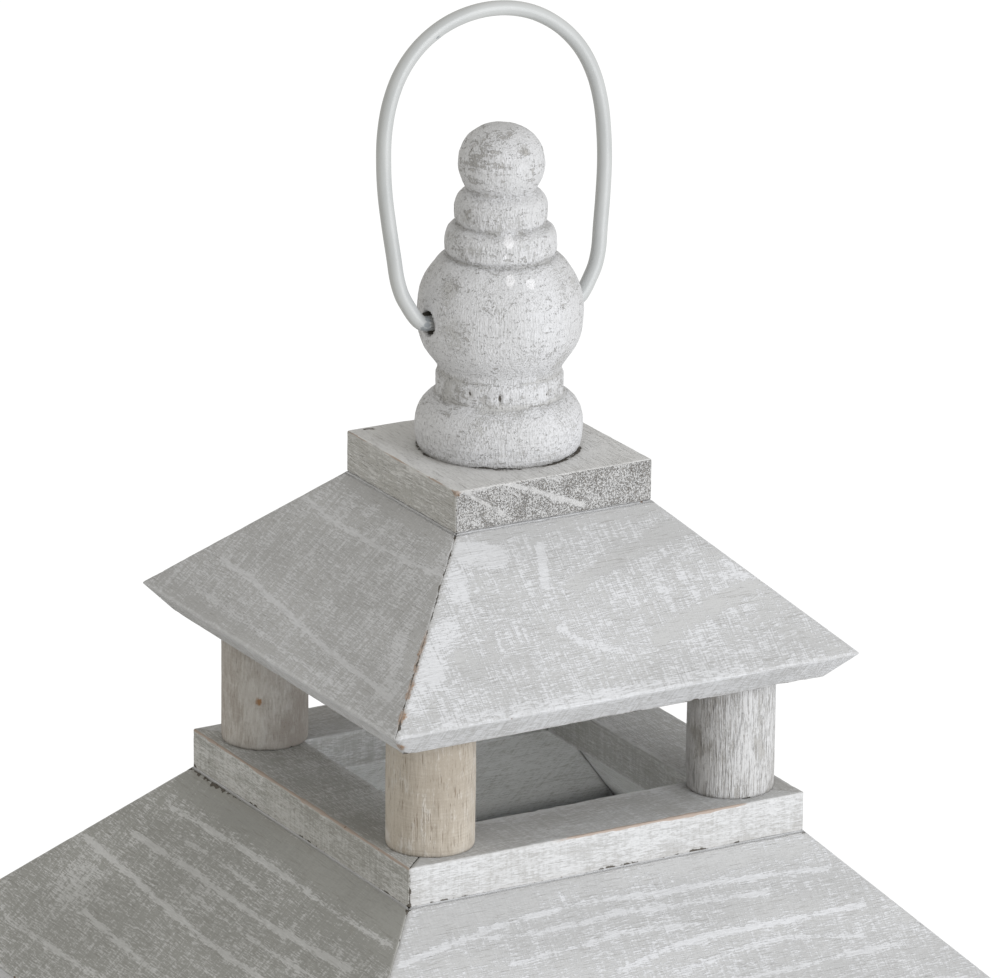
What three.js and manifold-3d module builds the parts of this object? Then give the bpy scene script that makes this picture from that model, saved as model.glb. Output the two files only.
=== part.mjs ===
// Hurricane candle lantern in whitewashed wood: a square glazed body with a hinged front door, a
// hipped lower roof, an open cupola on four dowels, a hipped upper roof, a cap block and a turned
// finial that carries a swinging wire bail.
// Millimetres, +Z up. The origin is the centre of the underside of the base board. The door is on
// the -Y side and the bail swings about an axis along X.
import * as THREE from "three";
import { mergeVertices } from "three/addons/utils/BufferGeometryUtils.js";
import Module from "manifold-3d";

const wasm = await Module();
wasm.setup();

// ---------------------------------------------------------------- driving dimensions
const BASE_HALF = 108; // base board, square
const BASE_T = 15;

const BODY_HALF = 100; // outer faces of the corner posts
const POST_W = 20; // square corner post
const BODY_H = 300; // corner post length
const POST_IN = BODY_HALF - POST_W;

const RAIL_H = 27;
const RAIL_T = 12;
const RAIL_OUT = 98; // rails stand 2 mm behind the post faces
const GLASS_T = 2;
const GROOVE_W = 3; // grooves that hold the panes
const GROOVE_D = 5;
const PANE_LINE = 92.5; // middle of the side panes, from the axis
const PANE_PLAY = 0.6; // the panes stop this far short of the groove bottoms

const DOOR_GAP_SIDE = 1; // door edge to post
const DOOR_GAP_END = 1.5; // door to base board and to eave frame
const DOOR_T = 12;
const STILE_W = 18;
const DOOR_RAIL_H = 27;
const STOP_LIP = 5; // rebate lip on the latch-side post, which the closed door comes to
const STOP_BACK = 12.5; // depth of the rebate behind the front face

const EAVE_HALF = 125; // eave frame, mitred
const EAVE_IN = 84;
const EAVE_T = 12;
const EAVE_LEDGE = 6; // ledge between the roof boards and the edge of the frame

const COLLAR_HALF = 63; // mitred collar under the cupola
const COLLAR_W = 23;
const COLLAR_T = 11.3;
const LOWER_BOARD_T = 11; // roof board, square to its face
const LOWER_RISE = 55.3;

const DOWEL_R = 12.35; // cupola posts
const DOWEL_AT = 47.95; // their centres, along X and along Y

const CAP_HALF = 31.15;
const CAP_T = 12;
const CAP_TOP = 487; // top face of the cap block
const UPPER_EAVE_TOP = { r: 73.7, z: CAP_TOP - 50.9 }; // top arris of the upper eave
const UPPER_EAVE_LOW = { r: 66.3, z: CAP_TOP - 58.9 }; // bottom arris, cut square to the board

const PIVOT_Z = CAP_TOP + 38.5; // bail pivot, through the widest part of the finial
const BAIL_WIRE_R = 2.1;
const BAIL_LEAN = 5; // degrees that the bail leans back at rest
const BAIL_HOLE_R = 2.5;
const BAIL_HOLE_END = 10.5; // the blind holes stop this far from the axis

const HINGE_AXIS = { x: POST_IN - DOOR_GAP_SIDE / 2, y: -BODY_HALF - 2.7 };
const HINGE_Z = [62, 268]; // middle of each hinge
const HINGE_H = 26;
const LEAF_W = 12;
const LEAF_T = 1.2;
const KNUCKLE_R = 2.5;
const KNUCKLE_BORE = 1.62;
const PIN_R = 1.25;
const SCREW_SPREAD = 8; // hinge screws, above and below the middle
const SCREW_OUT = 8.5; // hinge screws, from the hinge axis
const SCREW_R = 1;
const SCREW_HOLE_R = 1.4;

const LATCH = { x: -70, z: 166 }; // pivot of the latch hook on the door
const LATCH_REACH = 20; // pivot to catch screw
const LATCH_T = 1.5;

const MITRE_PLAY = 0.2; // each mitred end stops this far short of the mitre plane
const FIT = 0.3; // gap left where a piece is scribed to its neighbour

// ---------------------------------------------------------------- derived heights
const BODY_TOP = BASE_T + BODY_H;
const EAVE_TOP = BODY_TOP + EAVE_T;
const COLLAR_LOW = EAVE_TOP + LOWER_RISE;
const COLLAR_TOP = COLLAR_LOW + COLLAR_T;
const CAP_LOW = CAP_TOP - CAP_T;

// ---------------------------------------------------------------- helpers
// Merges a geometry's corners and drops the slivers that a lathe leaves on its axis.
function closed(geometry) {
  const bare = new THREE.BufferGeometry();
  bare.setAttribute("position", geometry.getAttribute("position").clone());
  if (geometry.index) bare.setIndex(geometry.index.clone());
  const merged = mergeVertices(bare, 1e-4);
  const from = merged.index.array;
  const kept = [];
  for (let i = 0; i < from.length; i += 3) {
    const [a, b, c] = [from[i], from[i + 1], from[i + 2]];
    if (a !== b && b !== c && c !== a) kept.push(a, b, c);
  }
  merged.setIndex(kept);
  return merged;
}

function toSolid(geometry) {
  const g = closed(geometry);
  return new wasm.Manifold(
    new wasm.Mesh({
      numProp: 3,
      vertProperties: new Float32Array(g.getAttribute("position").array),
      triVerts: new Uint32Array(g.index.array),
    }),
  );
}

function toGeometry(solid) {
  const m = solid.getMesh();
  const corners = new Float32Array(m.numVert * 3);
  for (let i = 0; i < m.numVert; i++)
    for (let k = 0; k < 3; k++)
      corners[i * 3 + k] = m.vertProperties[i * m.numProp + k];
  const g = new THREE.BufferGeometry();
  g.setAttribute("position", new THREE.BufferAttribute(corners, 3));
  g.setIndex(new THREE.BufferAttribute(new Uint32Array(m.triVerts), 1));
  return g;
}

const cut = (geometry, ...tools) =>
  toGeometry(tools.reduce((s, t) => s.subtract(toSolid(t)), toSolid(geometry)));
const join = (geometry, ...more) =>
  toGeometry(more.reduce((s, t) => s.add(toSolid(t)), toSolid(geometry)));
const common = (a, b) => toGeometry(toSolid(a).intersect(toSolid(b)));

function outline(points) {
  return new THREE.Shape(points.map(([x, y]) => new THREE.Vector2(x, y)));
}

function extrude(shape, depth, steps = {}) {
  return new THREE.ExtrudeGeometry(shape, {
    depth,
    bevelEnabled: false,
    curveSegments: 8,
    ...steps,
  });
}

// An upright bar: an outline in X and Y, from z0 to z1.
const upright = (points, z0, z1) =>
  closed(extrude(outline(points), z1 - z0).translate(0, 0, z0));

// A length of board or rail on the front side of the lantern, from its section in r (outwards)
// and z. reach(r) is the half length at that r: constant for a square end, growing for a mitre.
function sideBoard(section, reach) {
  const g = extrude(outline(section), 1);
  const p = g.getAttribute("position");
  for (let i = 0; i < p.count; i++) {
    const r = p.getX(i),
      z = p.getY(i),
      end = p.getZ(i) < 0.5 ? 1 : -1;
    p.setXYZ(i, end * reach(r), -r, z);
  }
  return closed(g);
}
const mitred = (r) => r - MITRE_PLAY;

const box = (x0, x1, y0, y1, z0, z1) =>
  closed(
    new THREE.BoxGeometry(x1 - x0, y1 - y0, z1 - z0).translate(
      (x0 + x1) / 2,
      (y0 + y1) / 2,
      (z0 + z1) / 2,
    ),
  );

// A rod from z0 to z1 on a vertical axis.
const rod = (x, y, r, z0, z1, sides) =>
  closed(
    new THREE.CylinderGeometry(r, r, z1 - z0, sides)
      .rotateX(Math.PI / 2)
      .translate(x, y, (z0 + z1) / 2),
  );

// A rod along Y from y0 to y1.
const rodAlongY = (x, z, r, y0, y1, sides) =>
  closed(
    new THREE.CylinderGeometry(r, r, y1 - y0, sides).translate(
      x,
      (y0 + y1) / 2,
      z,
    ),
  );

// A turned solid about a vertical axis, from (radius, height) points listed from the bottom up.
const turned = (points, sides) =>
  closed(
    new THREE.LatheGeometry(
      points.map(([r, z]) => new THREE.Vector2(r, z)),
      sides,
    ).rotateX(Math.PI / 2),
  );

// A screw with a domed head. Its seat, where the head meets what it holds, is at 0 and the shank
// runs down; then it is turned so that the head faces -Y.
function frontScrew(headR, headH, shankR, length) {
  return turned(
    [
      [0, -length],
      [shankR, -length + 2.2],
      [shankR, 0],
      [headR, 0],
      [headR, headH * 0.35],
      [headR * 0.72, headH * 0.85],
      [0, headH],
    ],
    12,
  ).rotateX(Math.PI / 2);
}

// ---------------------------------------------------------------- materials
const finish = (color, roughness, metalness = 0, more = {}) =>
  new THREE.MeshStandardMaterial({ color, roughness, metalness, ...more });
const WHITEWASH = () => finish(0xcfcfcb, 0.85);
const PALE_WOOD = () => finish(0xcdc4b6, 0.85);
const FRAME_WOOD = () => finish(0xe2e3e4, 0.75);
const PAINTED_WIRE = () => finish(0xf0f0ec, 0.35, 0.0);
const STEEL = () => finish(0xa9a9a6, 0.4, 0.9);
const GLASS = () =>
  finish(0xdfe8e6, 0.05, 0, { transparent: true, opacity: 0.3 });

// ---------------------------------------------------------------- assembly
const lantern = new THREE.Group();
const SIDES = ["front", "right", "back", "left"];
// One group for each side. A board made for the front takes its place when its group is turned.
const sides = SIDES.map((_, k) => {
  const g = new THREE.Group();
  g.rotation.z = (k * Math.PI) / 2;
  lantern.add(g);
  return g;
});

function piece(parent, name, geometry, material, place) {
  const m = new THREE.Mesh(geometry, material);
  m.name = name;
  if (place) m.position.set(...place);
  parent.add(m);
  return m;
}

// ---- base board
piece(
  lantern,
  "base_board",
  box(-BASE_HALF, BASE_HALF, -BASE_HALF, BASE_HALF, 0, BASE_T),
  FRAME_WOOD(),
);

// ---- corner posts
const g0 = PANE_LINE - GROOVE_W / 2;
const g1 = PANE_LINE + GROOVE_W / 2;
const B = BODY_HALF,
  I = POST_IN,
  D = I + GROOVE_D;
// Back post in the +X +Y corner: a groove for the back pane and one for the right pane.
const backPostOutline = [
  [B, B],
  [I, B],
  [I, g1],
  [D, g1],
  [D, g0],
  [I, g0],
  [I, I],
  [g0, I],
  [g0, D],
  [g1, D],
  [g1, I],
  [B, I],
];
// Hinge-side post in the +X -Y corner: a groove for the right pane only.
const hingePostOutline = [
  [B, -I],
  [g1, -I],
  [g1, -D],
  [g0, -D],
  [g0, -I],
  [I, -I],
  [I, -B],
  [B, -B],
];
// Latch-side post in the -X -Y corner: the same, with the rebate lip for the door.
const latchPostOutline = [
  [-B, -I],
  [-g1, -I],
  [-g1, -D],
  [-g0, -D],
  [-g0, -I],
  [-I + STOP_LIP, -I],
  [-I + STOP_LIP, -B + STOP_BACK],
  [-I, -B + STOP_BACK],
  [-I, -B],
  [-B, -B],
];
const pilotY = [-BODY_HALF - 1, -BODY_HALF + 10.5];
const pilot = (x, z) => rodAlongY(x, z, SCREW_HOLE_R, ...pilotY, 10);
const hingeScrewHeights = HINGE_Z.flatMap((z) => [
  z - SCREW_SPREAD,
  z + SCREW_SPREAD,
]);

piece(
  lantern,
  "corner_post_back_right",
  upright(backPostOutline, BASE_T, BODY_TOP),
  FRAME_WOOD(),
);
piece(
  lantern,
  "corner_post_back_left",
  upright(
    backPostOutline.map(([x, y]) => [-x, y]),
    BASE_T,
    BODY_TOP,
  ),
  FRAME_WOOD(),
);
piece(
  lantern,
  "corner_post_front_right",
  cut(
    upright(hingePostOutline, BASE_T, BODY_TOP),
    ...hingeScrewHeights.map((z) => pilot(HINGE_AXIS.x + SCREW_OUT, z)),
  ),
  FRAME_WOOD(),
);
piece(
  lantern,
  "corner_post_front_left",
  cut(
    upright(latchPostOutline, BASE_T, BODY_TOP),
    rodAlongY(LATCH.x - LATCH_REACH, LATCH.z, 1.65, ...pilotY, 10),
  ),
  FRAME_WOOD(),
);

// ---- rails and panes on the three fixed sides
const railSection = (low, high, grooveAtTop) => {
  const r0 = RAIL_OUT - RAIL_T,
    r1 = RAIL_OUT;
  return grooveAtTop
    ? [
        [r0, low],
        [r1, low],
        [r1, high],
        [g1, high],
        [g1, high - GROOVE_D],
        [g0, high - GROOVE_D],
        [g0, high],
        [r0, high],
      ]
    : [
        [r0, low],
        [g0, low],
        [g0, low + GROOVE_D],
        [g1, low + GROOVE_D],
        [g1, low],
        [r1, low],
        [r1, high],
        [r0, high],
      ];
};
const paneHalf = POST_IN + GROOVE_D - PANE_PLAY;
const paneLow = BASE_T + RAIL_H - GROOVE_D + PANE_PLAY;
const paneHigh = BODY_TOP - RAIL_H + GROOVE_D - PANE_PLAY;
for (const k of [1, 2, 3]) {
  const side = SIDES[k];
  piece(
    sides[k],
    "bottom_rail_" + side,
    sideBoard(railSection(BASE_T, BASE_T + RAIL_H, true), () => POST_IN),
    FRAME_WOOD(),
  );
  piece(
    sides[k],
    "top_rail_" + side,
    sideBoard(railSection(BODY_TOP - RAIL_H, BODY_TOP, false), () => POST_IN),
    FRAME_WOOD(),
  );
  piece(
    sides[k],
    "glass_pane_" + side,
    box(
      -paneHalf,
      paneHalf,
      -PANE_LINE - GLASS_T / 2,
      -PANE_LINE + GLASS_T / 2,
      paneLow,
      paneHigh,
    ),
    GLASS(),
  );
}

// ---- door
const door = new THREE.Group();
lantern.add(door);
const doorHalf = POST_IN - DOOR_GAP_SIDE;
const doorLow = BASE_T + DOOR_GAP_END;
const doorHigh = BODY_TOP - DOOR_GAP_END;
const stileIn = doorHalf - STILE_W;
const doorFront = -BODY_HALF;
const doorBack = doorFront + DOOR_T;
const dg0 = doorFront + DOOR_T / 2 - GROOVE_W / 2;
const dg1 = doorFront + DOOR_T / 2 + GROOVE_W / 2;
const stileOutline = [
  [doorHalf, doorFront],
  [doorHalf, doorBack],
  [stileIn, doorBack],
  [stileIn, dg1],
  [stileIn + GROOVE_D, dg1],
  [stileIn + GROOVE_D, dg0],
  [stileIn, dg0],
  [stileIn, doorFront],
];
piece(
  door,
  "door_stile_hinge_side",
  cut(
    upright(stileOutline, doorLow, doorHigh),
    ...hingeScrewHeights.map((z) => pilot(HINGE_AXIS.x - SCREW_OUT, z)),
  ),
  FRAME_WOOD(),
);
piece(
  door,
  "door_stile_latch_side",
  cut(
    upright(
      stileOutline.map(([x, y]) => [-x, y]),
      doorLow,
      doorHigh,
    ),
    rodAlongY(LATCH.x, LATCH.z, 1.65, ...pilotY, 10),
  ),
  FRAME_WOOD(),
);
const doorRail = (low, high, grooveAtTop) => {
  const r0 = -doorBack,
    r1 = -doorFront,
    a = -dg1,
    b = -dg0;
  return grooveAtTop
    ? [
        [r0, low],
        [r1, low],
        [r1, high],
        [b, high],
        [b, high - GROOVE_D],
        [a, high - GROOVE_D],
        [a, high],
        [r0, high],
      ]
    : [
        [r0, low],
        [a, low],
        [a, low + GROOVE_D],
        [b, low + GROOVE_D],
        [b, low],
        [r1, low],
        [r1, high],
        [r0, high],
      ];
};
piece(
  door,
  "door_rail_bottom",
  sideBoard(doorRail(doorLow, doorLow + DOOR_RAIL_H, true), () => stileIn),
  FRAME_WOOD(),
);
piece(
  door,
  "door_rail_top",
  sideBoard(doorRail(doorHigh - DOOR_RAIL_H, doorHigh, false), () => stileIn),
  FRAME_WOOD(),
);
const doorPane = stileIn + GROOVE_D - PANE_PLAY;
piece(
  door,
  "door_glass",
  box(
    -doorPane,
    doorPane,
    doorFront + DOOR_T / 2 - GLASS_T / 2,
    doorFront + DOOR_T / 2 + GLASS_T / 2,
    doorLow + DOOR_RAIL_H - GROOVE_D + PANE_PLAY,
    doorHigh - DOOR_RAIL_H + GROOVE_D - PANE_PLAY,
  ),
  GLASS(),
);

// ---- hinges: a frame leaf with two knuckles, a door leaf with one, a pin and four screws each
function leaf(side, spans) {
  // side is 1 for the frame leaf, which lies on the post, and -1 for the door leaf.
  const back = -HINGE_AXIS.y - BODY_HALF; // hinge axis to the wood face
  const plateFrom = 3,
    plateTo = 3 + LEAF_W;
  const xs = (a, b) => (side > 0 ? [a, b] : [-b, -a]);
  let g = box(
    ...xs(plateFrom, plateTo),
    back - LEAF_T,
    back,
    -HINGE_H / 2,
    HINGE_H / 2,
  );
  for (const [a, b] of spans) {
    g = join(
      g,
      box(...xs(0, plateFrom + 0.1), back - LEAF_T, back - 0.2, a, b),
      rod(0, 0, KNUCKLE_R, a, b, 20),
    );
  }
  return cut(
    g,
    rod(0, 0, KNUCKLE_BORE, -HINGE_H, HINGE_H, 16),
    rodAlongY(side * SCREW_OUT, SCREW_SPREAD, SCREW_HOLE_R, 0, 5, 10),
    rodAlongY(side * SCREW_OUT, -SCREW_SPREAD, SCREW_HOLE_R, 0, 5, 10),
  );
}
const third = HINGE_H / 3;
const frameLeaf = leaf(1, [
  [-HINGE_H / 2, -third / 2 - 0.2],
  [third / 2 + 0.2, HINGE_H / 2],
]);
const doorLeaf = leaf(-1, [[-third / 2 + 0.2, third / 2 - 0.2]]);
const hingePin = turned(
  [
    [0, -HINGE_H / 2 - 1.3],
    [1.6, -HINGE_H / 2 - 1.1],
    [2.1, -HINGE_H / 2 - 0.1],
    [PIN_R, -HINGE_H / 2 - 0.1],
    [PIN_R, HINGE_H / 2 + 0.1],
    [2.1, HINGE_H / 2 + 0.1],
    [1.6, HINGE_H / 2 + 1.1],
    [0, HINGE_H / 2 + 1.3],
  ],
  16,
);
const hingeScrew = frontScrew(2.3, 1.2, SCREW_R, 10);
const seatY = -BODY_HALF - LEAF_T;
HINGE_Z.forEach((z, i) => {
  const which = i ? "upper" : "lower";
  const at = [HINGE_AXIS.x, HINGE_AXIS.y, z];
  piece(lantern, "hinge_" + which + "_frame_leaf", frameLeaf, STEEL(), at);
  piece(door, "hinge_" + which + "_door_leaf", doorLeaf, STEEL(), at);
  piece(lantern, "hinge_" + which + "_pin", hingePin, STEEL(), at);
  [
    ["low", -SCREW_SPREAD],
    ["high", SCREW_SPREAD],
  ].forEach(([row, dz]) => {
    piece(
      lantern,
      "hinge_" + which + "_frame_screw_" + row,
      hingeScrew,
      STEEL(),
      [HINGE_AXIS.x + SCREW_OUT, seatY, z + dz],
    );
    piece(door, "hinge_" + which + "_door_screw_" + row, hingeScrew, STEEL(), [
      HINGE_AXIS.x - SCREW_OUT,
      seatY,
      z + dz,
    ]);
  });
});

// ---- latch: a flat hook that hangs from its pivot screw on the door, and a catch screw on the post
const hookOutline = new THREE.Shape();
const eyeR = 3.6,
  shankHalf = 1.5;
const eyeStart = Math.asin(shankHalf / eyeR);
hookOutline.moveTo(shankHalf, -LATCH_REACH + 1.8);
hookOutline.lineTo(0, -LATCH_REACH + 1.8);
hookOutline.absarc(0, -LATCH_REACH, 1.8, Math.PI / 2, (3 * Math.PI) / 2, false);
hookOutline.lineTo(3, -LATCH_REACH - 1.8);
hookOutline.lineTo(3.5, -LATCH_REACH - 2.7);
hookOutline.lineTo(2.6, -LATCH_REACH - 4.3);
hookOutline.lineTo(0, -LATCH_REACH - 4.6);
hookOutline.absarc(0, -LATCH_REACH, 4.6, (3 * Math.PI) / 2, 2.3, true);
hookOutline.lineTo(-shankHalf, -LATCH_REACH + 6.5);
hookOutline.lineTo(-shankHalf, -eyeR * Math.cos(eyeStart));
hookOutline.absarc(
  0,
  0,
  eyeR,
  -Math.PI / 2 - eyeStart,
  -Math.PI / 2 + eyeStart,
  true,
);
const eye = new THREE.Path();
eye.absarc(0, 0, 1.75, 0, 2 * Math.PI, false);
hookOutline.holes.push(eye);
// The outline is drawn in X and Z, so it is stood up: the extrusion then runs towards -Y.
const hook = closed(
  extrude(hookOutline, LATCH_T, { curveSegments: 10 }).rotateX(Math.PI / 2),
);
piece(door, "latch_hook", hook, STEEL(), [LATCH.x, -BODY_HALF - 1, LATCH.z]);
const latchSeat = -BODY_HALF - 1 - LATCH_T - FIT;
piece(
  door,
  "latch_pivot_screw",
  frontScrew(3, 1.5, 1.3, 12.5),
  STEEL(),
  [LATCH.x, latchSeat, LATCH.z],
);
piece(
  lantern,
  "latch_catch_screw",
  frontScrew(2.8, 1.5, 1.3, 12.5),
  STEEL(),
  [LATCH.x - LATCH_REACH, latchSeat, LATCH.z],
);

// ---- eave frame, lower roof, collar
const lowerOutEave = EAVE_HALF - EAVE_LEDGE;
const lowerTan = LOWER_RISE / (lowerOutEave - COLLAR_HALF);
const lowerInset = LOWER_BOARD_T / Math.sin(Math.atan(lowerTan));
const eaveSection = [
  [EAVE_IN, BODY_TOP],
  [EAVE_HALF, BODY_TOP],
  [EAVE_HALF, EAVE_TOP],
  [EAVE_IN, EAVE_TOP],
];
const lowerSection = [
  [lowerOutEave - lowerInset, EAVE_TOP],
  [lowerOutEave, EAVE_TOP],
  [COLLAR_HALF, COLLAR_LOW],
  [COLLAR_HALF - lowerInset, COLLAR_LOW],
];
const collarSection = [
  [COLLAR_HALF - COLLAR_W, COLLAR_LOW],
  [COLLAR_HALF, COLLAR_LOW],
  [COLLAR_HALF, COLLAR_TOP],
  [COLLAR_HALF - COLLAR_W, COLLAR_TOP],
];
// ---- upper roof: boards with a square-cut eave, their top edge level under the cap block
const upperTan =
  (CAP_LOW - UPPER_EAVE_TOP.z) / (UPPER_EAVE_TOP.r - CAP_HALF);
const upperSection = [
  [UPPER_EAVE_LOW.r, UPPER_EAVE_LOW.z],
  [UPPER_EAVE_TOP.r, UPPER_EAVE_TOP.z],
  [CAP_HALF, CAP_LOW],
  [UPPER_EAVE_LOW.r - (CAP_LOW - UPPER_EAVE_LOW.z) / upperTan, CAP_LOW],
];
SIDES.forEach((side, k) => {
  const g = sides[k];
  piece(g, "eave_strip_" + side, sideBoard(eaveSection, mitred), WHITEWASH());
  piece(
    g,
    "lower_roof_board_" + side,
    sideBoard(lowerSection, mitred),
    WHITEWASH(),
  );
  piece(
    g,
    "collar_strip_" + side,
    sideBoard(collarSection, mitred),
    WHITEWASH(),
  );
  piece(
    g,
    "upper_roof_board_" + side,
    sideBoard(upperSection, mitred),
    WHITEWASH(),
  );
});

// ---- cupola posts: dowels whose tops are scribed to the underside of the upper roof
const under = (z) =>
  UPPER_EAVE_LOW.r - (z - UPPER_EAVE_LOW.z) / upperTan - FIT / Math.sin(Math.atan(upperTan));
const roofSpace = (() => {
  const z0 = COLLAR_TOP - 5,
    z1 = CAP_LOW - 3;
  return closed(
    new THREE.CylinderGeometry(
      under(z1) * Math.SQRT2,
      under(z0) * Math.SQRT2,
      z1 - z0,
      4,
    )
      .rotateX(Math.PI / 2)
      .rotateZ(Math.PI / 4)
      .translate(0, 0, (z0 + z1) / 2),
  );
})();
for (const [name, sx, sy] of [
  ["front_left", -1, -1],
  ["front_right", 1, -1],
  ["back_right", 1, 1],
  ["back_left", -1, 1],
])
  piece(
    lantern,
    "cupola_post_" + name,
    common(
      rod(sx * DOWEL_AT, sy * DOWEL_AT, DOWEL_R, COLLAR_TOP, CAP_LOW - 10, 28),
      roofSpace,
    ),
    PALE_WOOD(),
  );

// ---- cap block, with a clearance hole for the finial's screw
piece(
  lantern,
  "cap_block",
  cut(
    box(-CAP_HALF, CAP_HALF, -CAP_HALF, CAP_HALF, CAP_LOW, CAP_TOP),
    rod(0, 0, 2.5, CAP_LOW - 1, CAP_TOP + 1, 12),
  ),
  WHITEWASH(),
);

// ---- finial: (radius, height above the cap block)
const FINIAL = [
  [0, 0],
  [23.1, 0],
  [23.6, 1.4],
  [23.7, 5],
  [23.5, 8],
  [22.9, 10.4],
  [21.6, 12.9],
  [19.7, 14.9],
  [18.3, 16.2],
  [18.2, 20.9],
  [17.6, 22.3],
  [18.1, 24.3],
  [19.9, 27.1],
  [21.7, 30],
  [22.9, 33.4],
  [23.3, 37.2],
  [23.3, 41],
  [22.9, 44.8],
  [21.7, 48.2],
  [19.5, 51.8],
  [17, 54.4],
  [15.2, 55.3],
  [16.1, 57],
  [16, 60.6],
  [15, 62.9],
  [12.9, 64.6],
  [13.4, 66.2],
  [13.3, 69.9],
  [12.2, 72.1],
  [9.9, 74.4],
  [11.1, 76.6],
  [12.2, 79.6],
  [12.2, 83],
  [11.2, 86.6],
  [8.6, 89.8],
  [4.6, 91.9],
  [0, 92.5],
];
const along = (x0, x1, z, r, sidesN) =>
  closed(
    new THREE.CylinderGeometry(r, r, x1 - x0, sidesN)
      .rotateZ(Math.PI / 2)
      .translate((x0 + x1) / 2, 0, z),
  );
piece(
  lantern,
  "finial",
  cut(
    turned(FINIAL, 32),
    along(BAIL_HOLE_END, 30, PIVOT_Z - CAP_TOP, BAIL_HOLE_R, 14),
    along(-30, -BAIL_HOLE_END, PIVOT_Z - CAP_TOP, BAIL_HOLE_R, 14),
    rod(0, 0, 2.5, -1, 27, 12),
  ),
  WHITEWASH(),
  [0, 0, CAP_TOP],
);

// ---- finial screw, up through the cap block: round head below, pointed shank above
piece(
  lantern,
  "finial_screw",
  turned(
    [
      [0, -3.2],
      [2.8, -2.9],
      [4.6, -1.6],
      [4.6, 0],
      [2.1, 0],
      [2.1, 33],
      [0, 38],
    ],
    16,
  ),
  STEEL(),
  [0, 0, CAP_LOW],
);

// ---- bail: one wire, bent in at both ends, each end in a blind hole of the finial
const rightHalf = [
  [25.1, 0.6],
  [27, 2.6],
  [28.9, 5.6],
  [30.7, 9],
  [32, 13.6],
  [32.8, 20],
  [33.9, 29],
  [34.7, 38],
  [34.8, 46],
  [34.2, 54.5],
  [32.2, 63],
  [28.4, 70.8],
  [22.4, 77.4],
  [14.4, 82.3],
  [5, 84.8],
];
const ends = [
  [12.5, 0],
  [16, 0],
  [20, 0],
  [22.8, 0.05],
];
const half = [...ends, ...rightHalf];
const bailPath = new THREE.CatmullRomCurve3(
  [
    ...half.map(([x, h]) => new THREE.Vector3(x, 0, h)),
    ...half
      .slice()
      .reverse()
      .map(([x, h]) => new THREE.Vector3(-x, 0, h)),
  ],
  false,
  "centripetal",
);
const wire = new THREE.Shape();
wire.absarc(0, 0, BAIL_WIRE_R, 0, 2 * Math.PI, false);
const bail = piece(
  lantern,
  "bail_handle",
  closed(
    extrude(wire, 1, { steps: 84, extrudePath: bailPath, curveSegments: 5 }),
  ),
  PAINTED_WIRE(),
  [0, 0, PIVOT_Z],
);
bail.rotation.x = (-BAIL_LEAN * Math.PI) / 180;

export default lantern;
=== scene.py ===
"""Looks of the hurricane candle lantern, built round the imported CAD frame.

Lengths in the mesh code are millimetres in the row frame; make() turns them into metres.
"""
import math

import bpy
import numpy as np
from mathutils import Matrix, Vector


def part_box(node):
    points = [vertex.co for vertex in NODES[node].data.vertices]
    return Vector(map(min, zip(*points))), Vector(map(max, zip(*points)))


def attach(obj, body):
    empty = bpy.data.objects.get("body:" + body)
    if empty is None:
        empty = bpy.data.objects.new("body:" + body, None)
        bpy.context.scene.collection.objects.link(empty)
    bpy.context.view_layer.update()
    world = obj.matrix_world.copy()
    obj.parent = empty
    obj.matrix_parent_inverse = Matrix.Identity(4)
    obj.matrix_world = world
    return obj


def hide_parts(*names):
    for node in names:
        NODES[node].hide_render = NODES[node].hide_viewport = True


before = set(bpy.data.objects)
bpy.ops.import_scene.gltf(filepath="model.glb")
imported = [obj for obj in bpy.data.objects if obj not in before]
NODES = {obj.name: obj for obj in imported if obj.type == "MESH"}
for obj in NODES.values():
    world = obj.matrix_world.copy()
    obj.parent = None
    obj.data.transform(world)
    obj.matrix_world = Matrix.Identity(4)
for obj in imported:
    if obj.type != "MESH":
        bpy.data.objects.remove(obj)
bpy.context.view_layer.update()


def box_mm(node):
    lo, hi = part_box(node)
    return np.array(lo) * 1000.0, np.array(hi) * 1000.0


CAP_LO, CAP_HI = box_mm("cap_block")
T = CAP_HI[2]                       # top of the cap block, seat of the finial


# ------------------------------------------------------------------ camera
def set_camera():
    az, el, roll = (math.radians(v) for v in (-29.844, 18.443, -0.551))
    focal_px = 8536.0
    dist = focal_px / 3.6
    back = Vector((math.sin(az) * math.cos(el), -math.cos(az) * math.cos(el), math.sin(el)))
    right = Vector((math.cos(az), math.sin(az), 0.0))
    up = back.cross(right)
    x = right * math.cos(roll) - up * math.sin(roll)
    y = right * math.sin(roll) + up * math.cos(roll)
    at = right * 0.4826 + up * -12.3755 + back * dist + Vector((0, 0, T))
    cam = bpy.data.cameras.new("camera")
    cam.sensor_width = 36.0
    cam.lens = 36.0 * focal_px / 1000.0
    cam.clip_start, cam.clip_end = 0.05, 50.0
    ob = bpy.data.objects.new("camera", cam)
    bpy.context.scene.collection.objects.link(ob)
    m = Matrix((x, y, back)).transposed().to_4x4()
    m.translation = at / 1000.0
    ob.matrix_world = m
    bpy.context.scene.camera = ob


set_camera()


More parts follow.
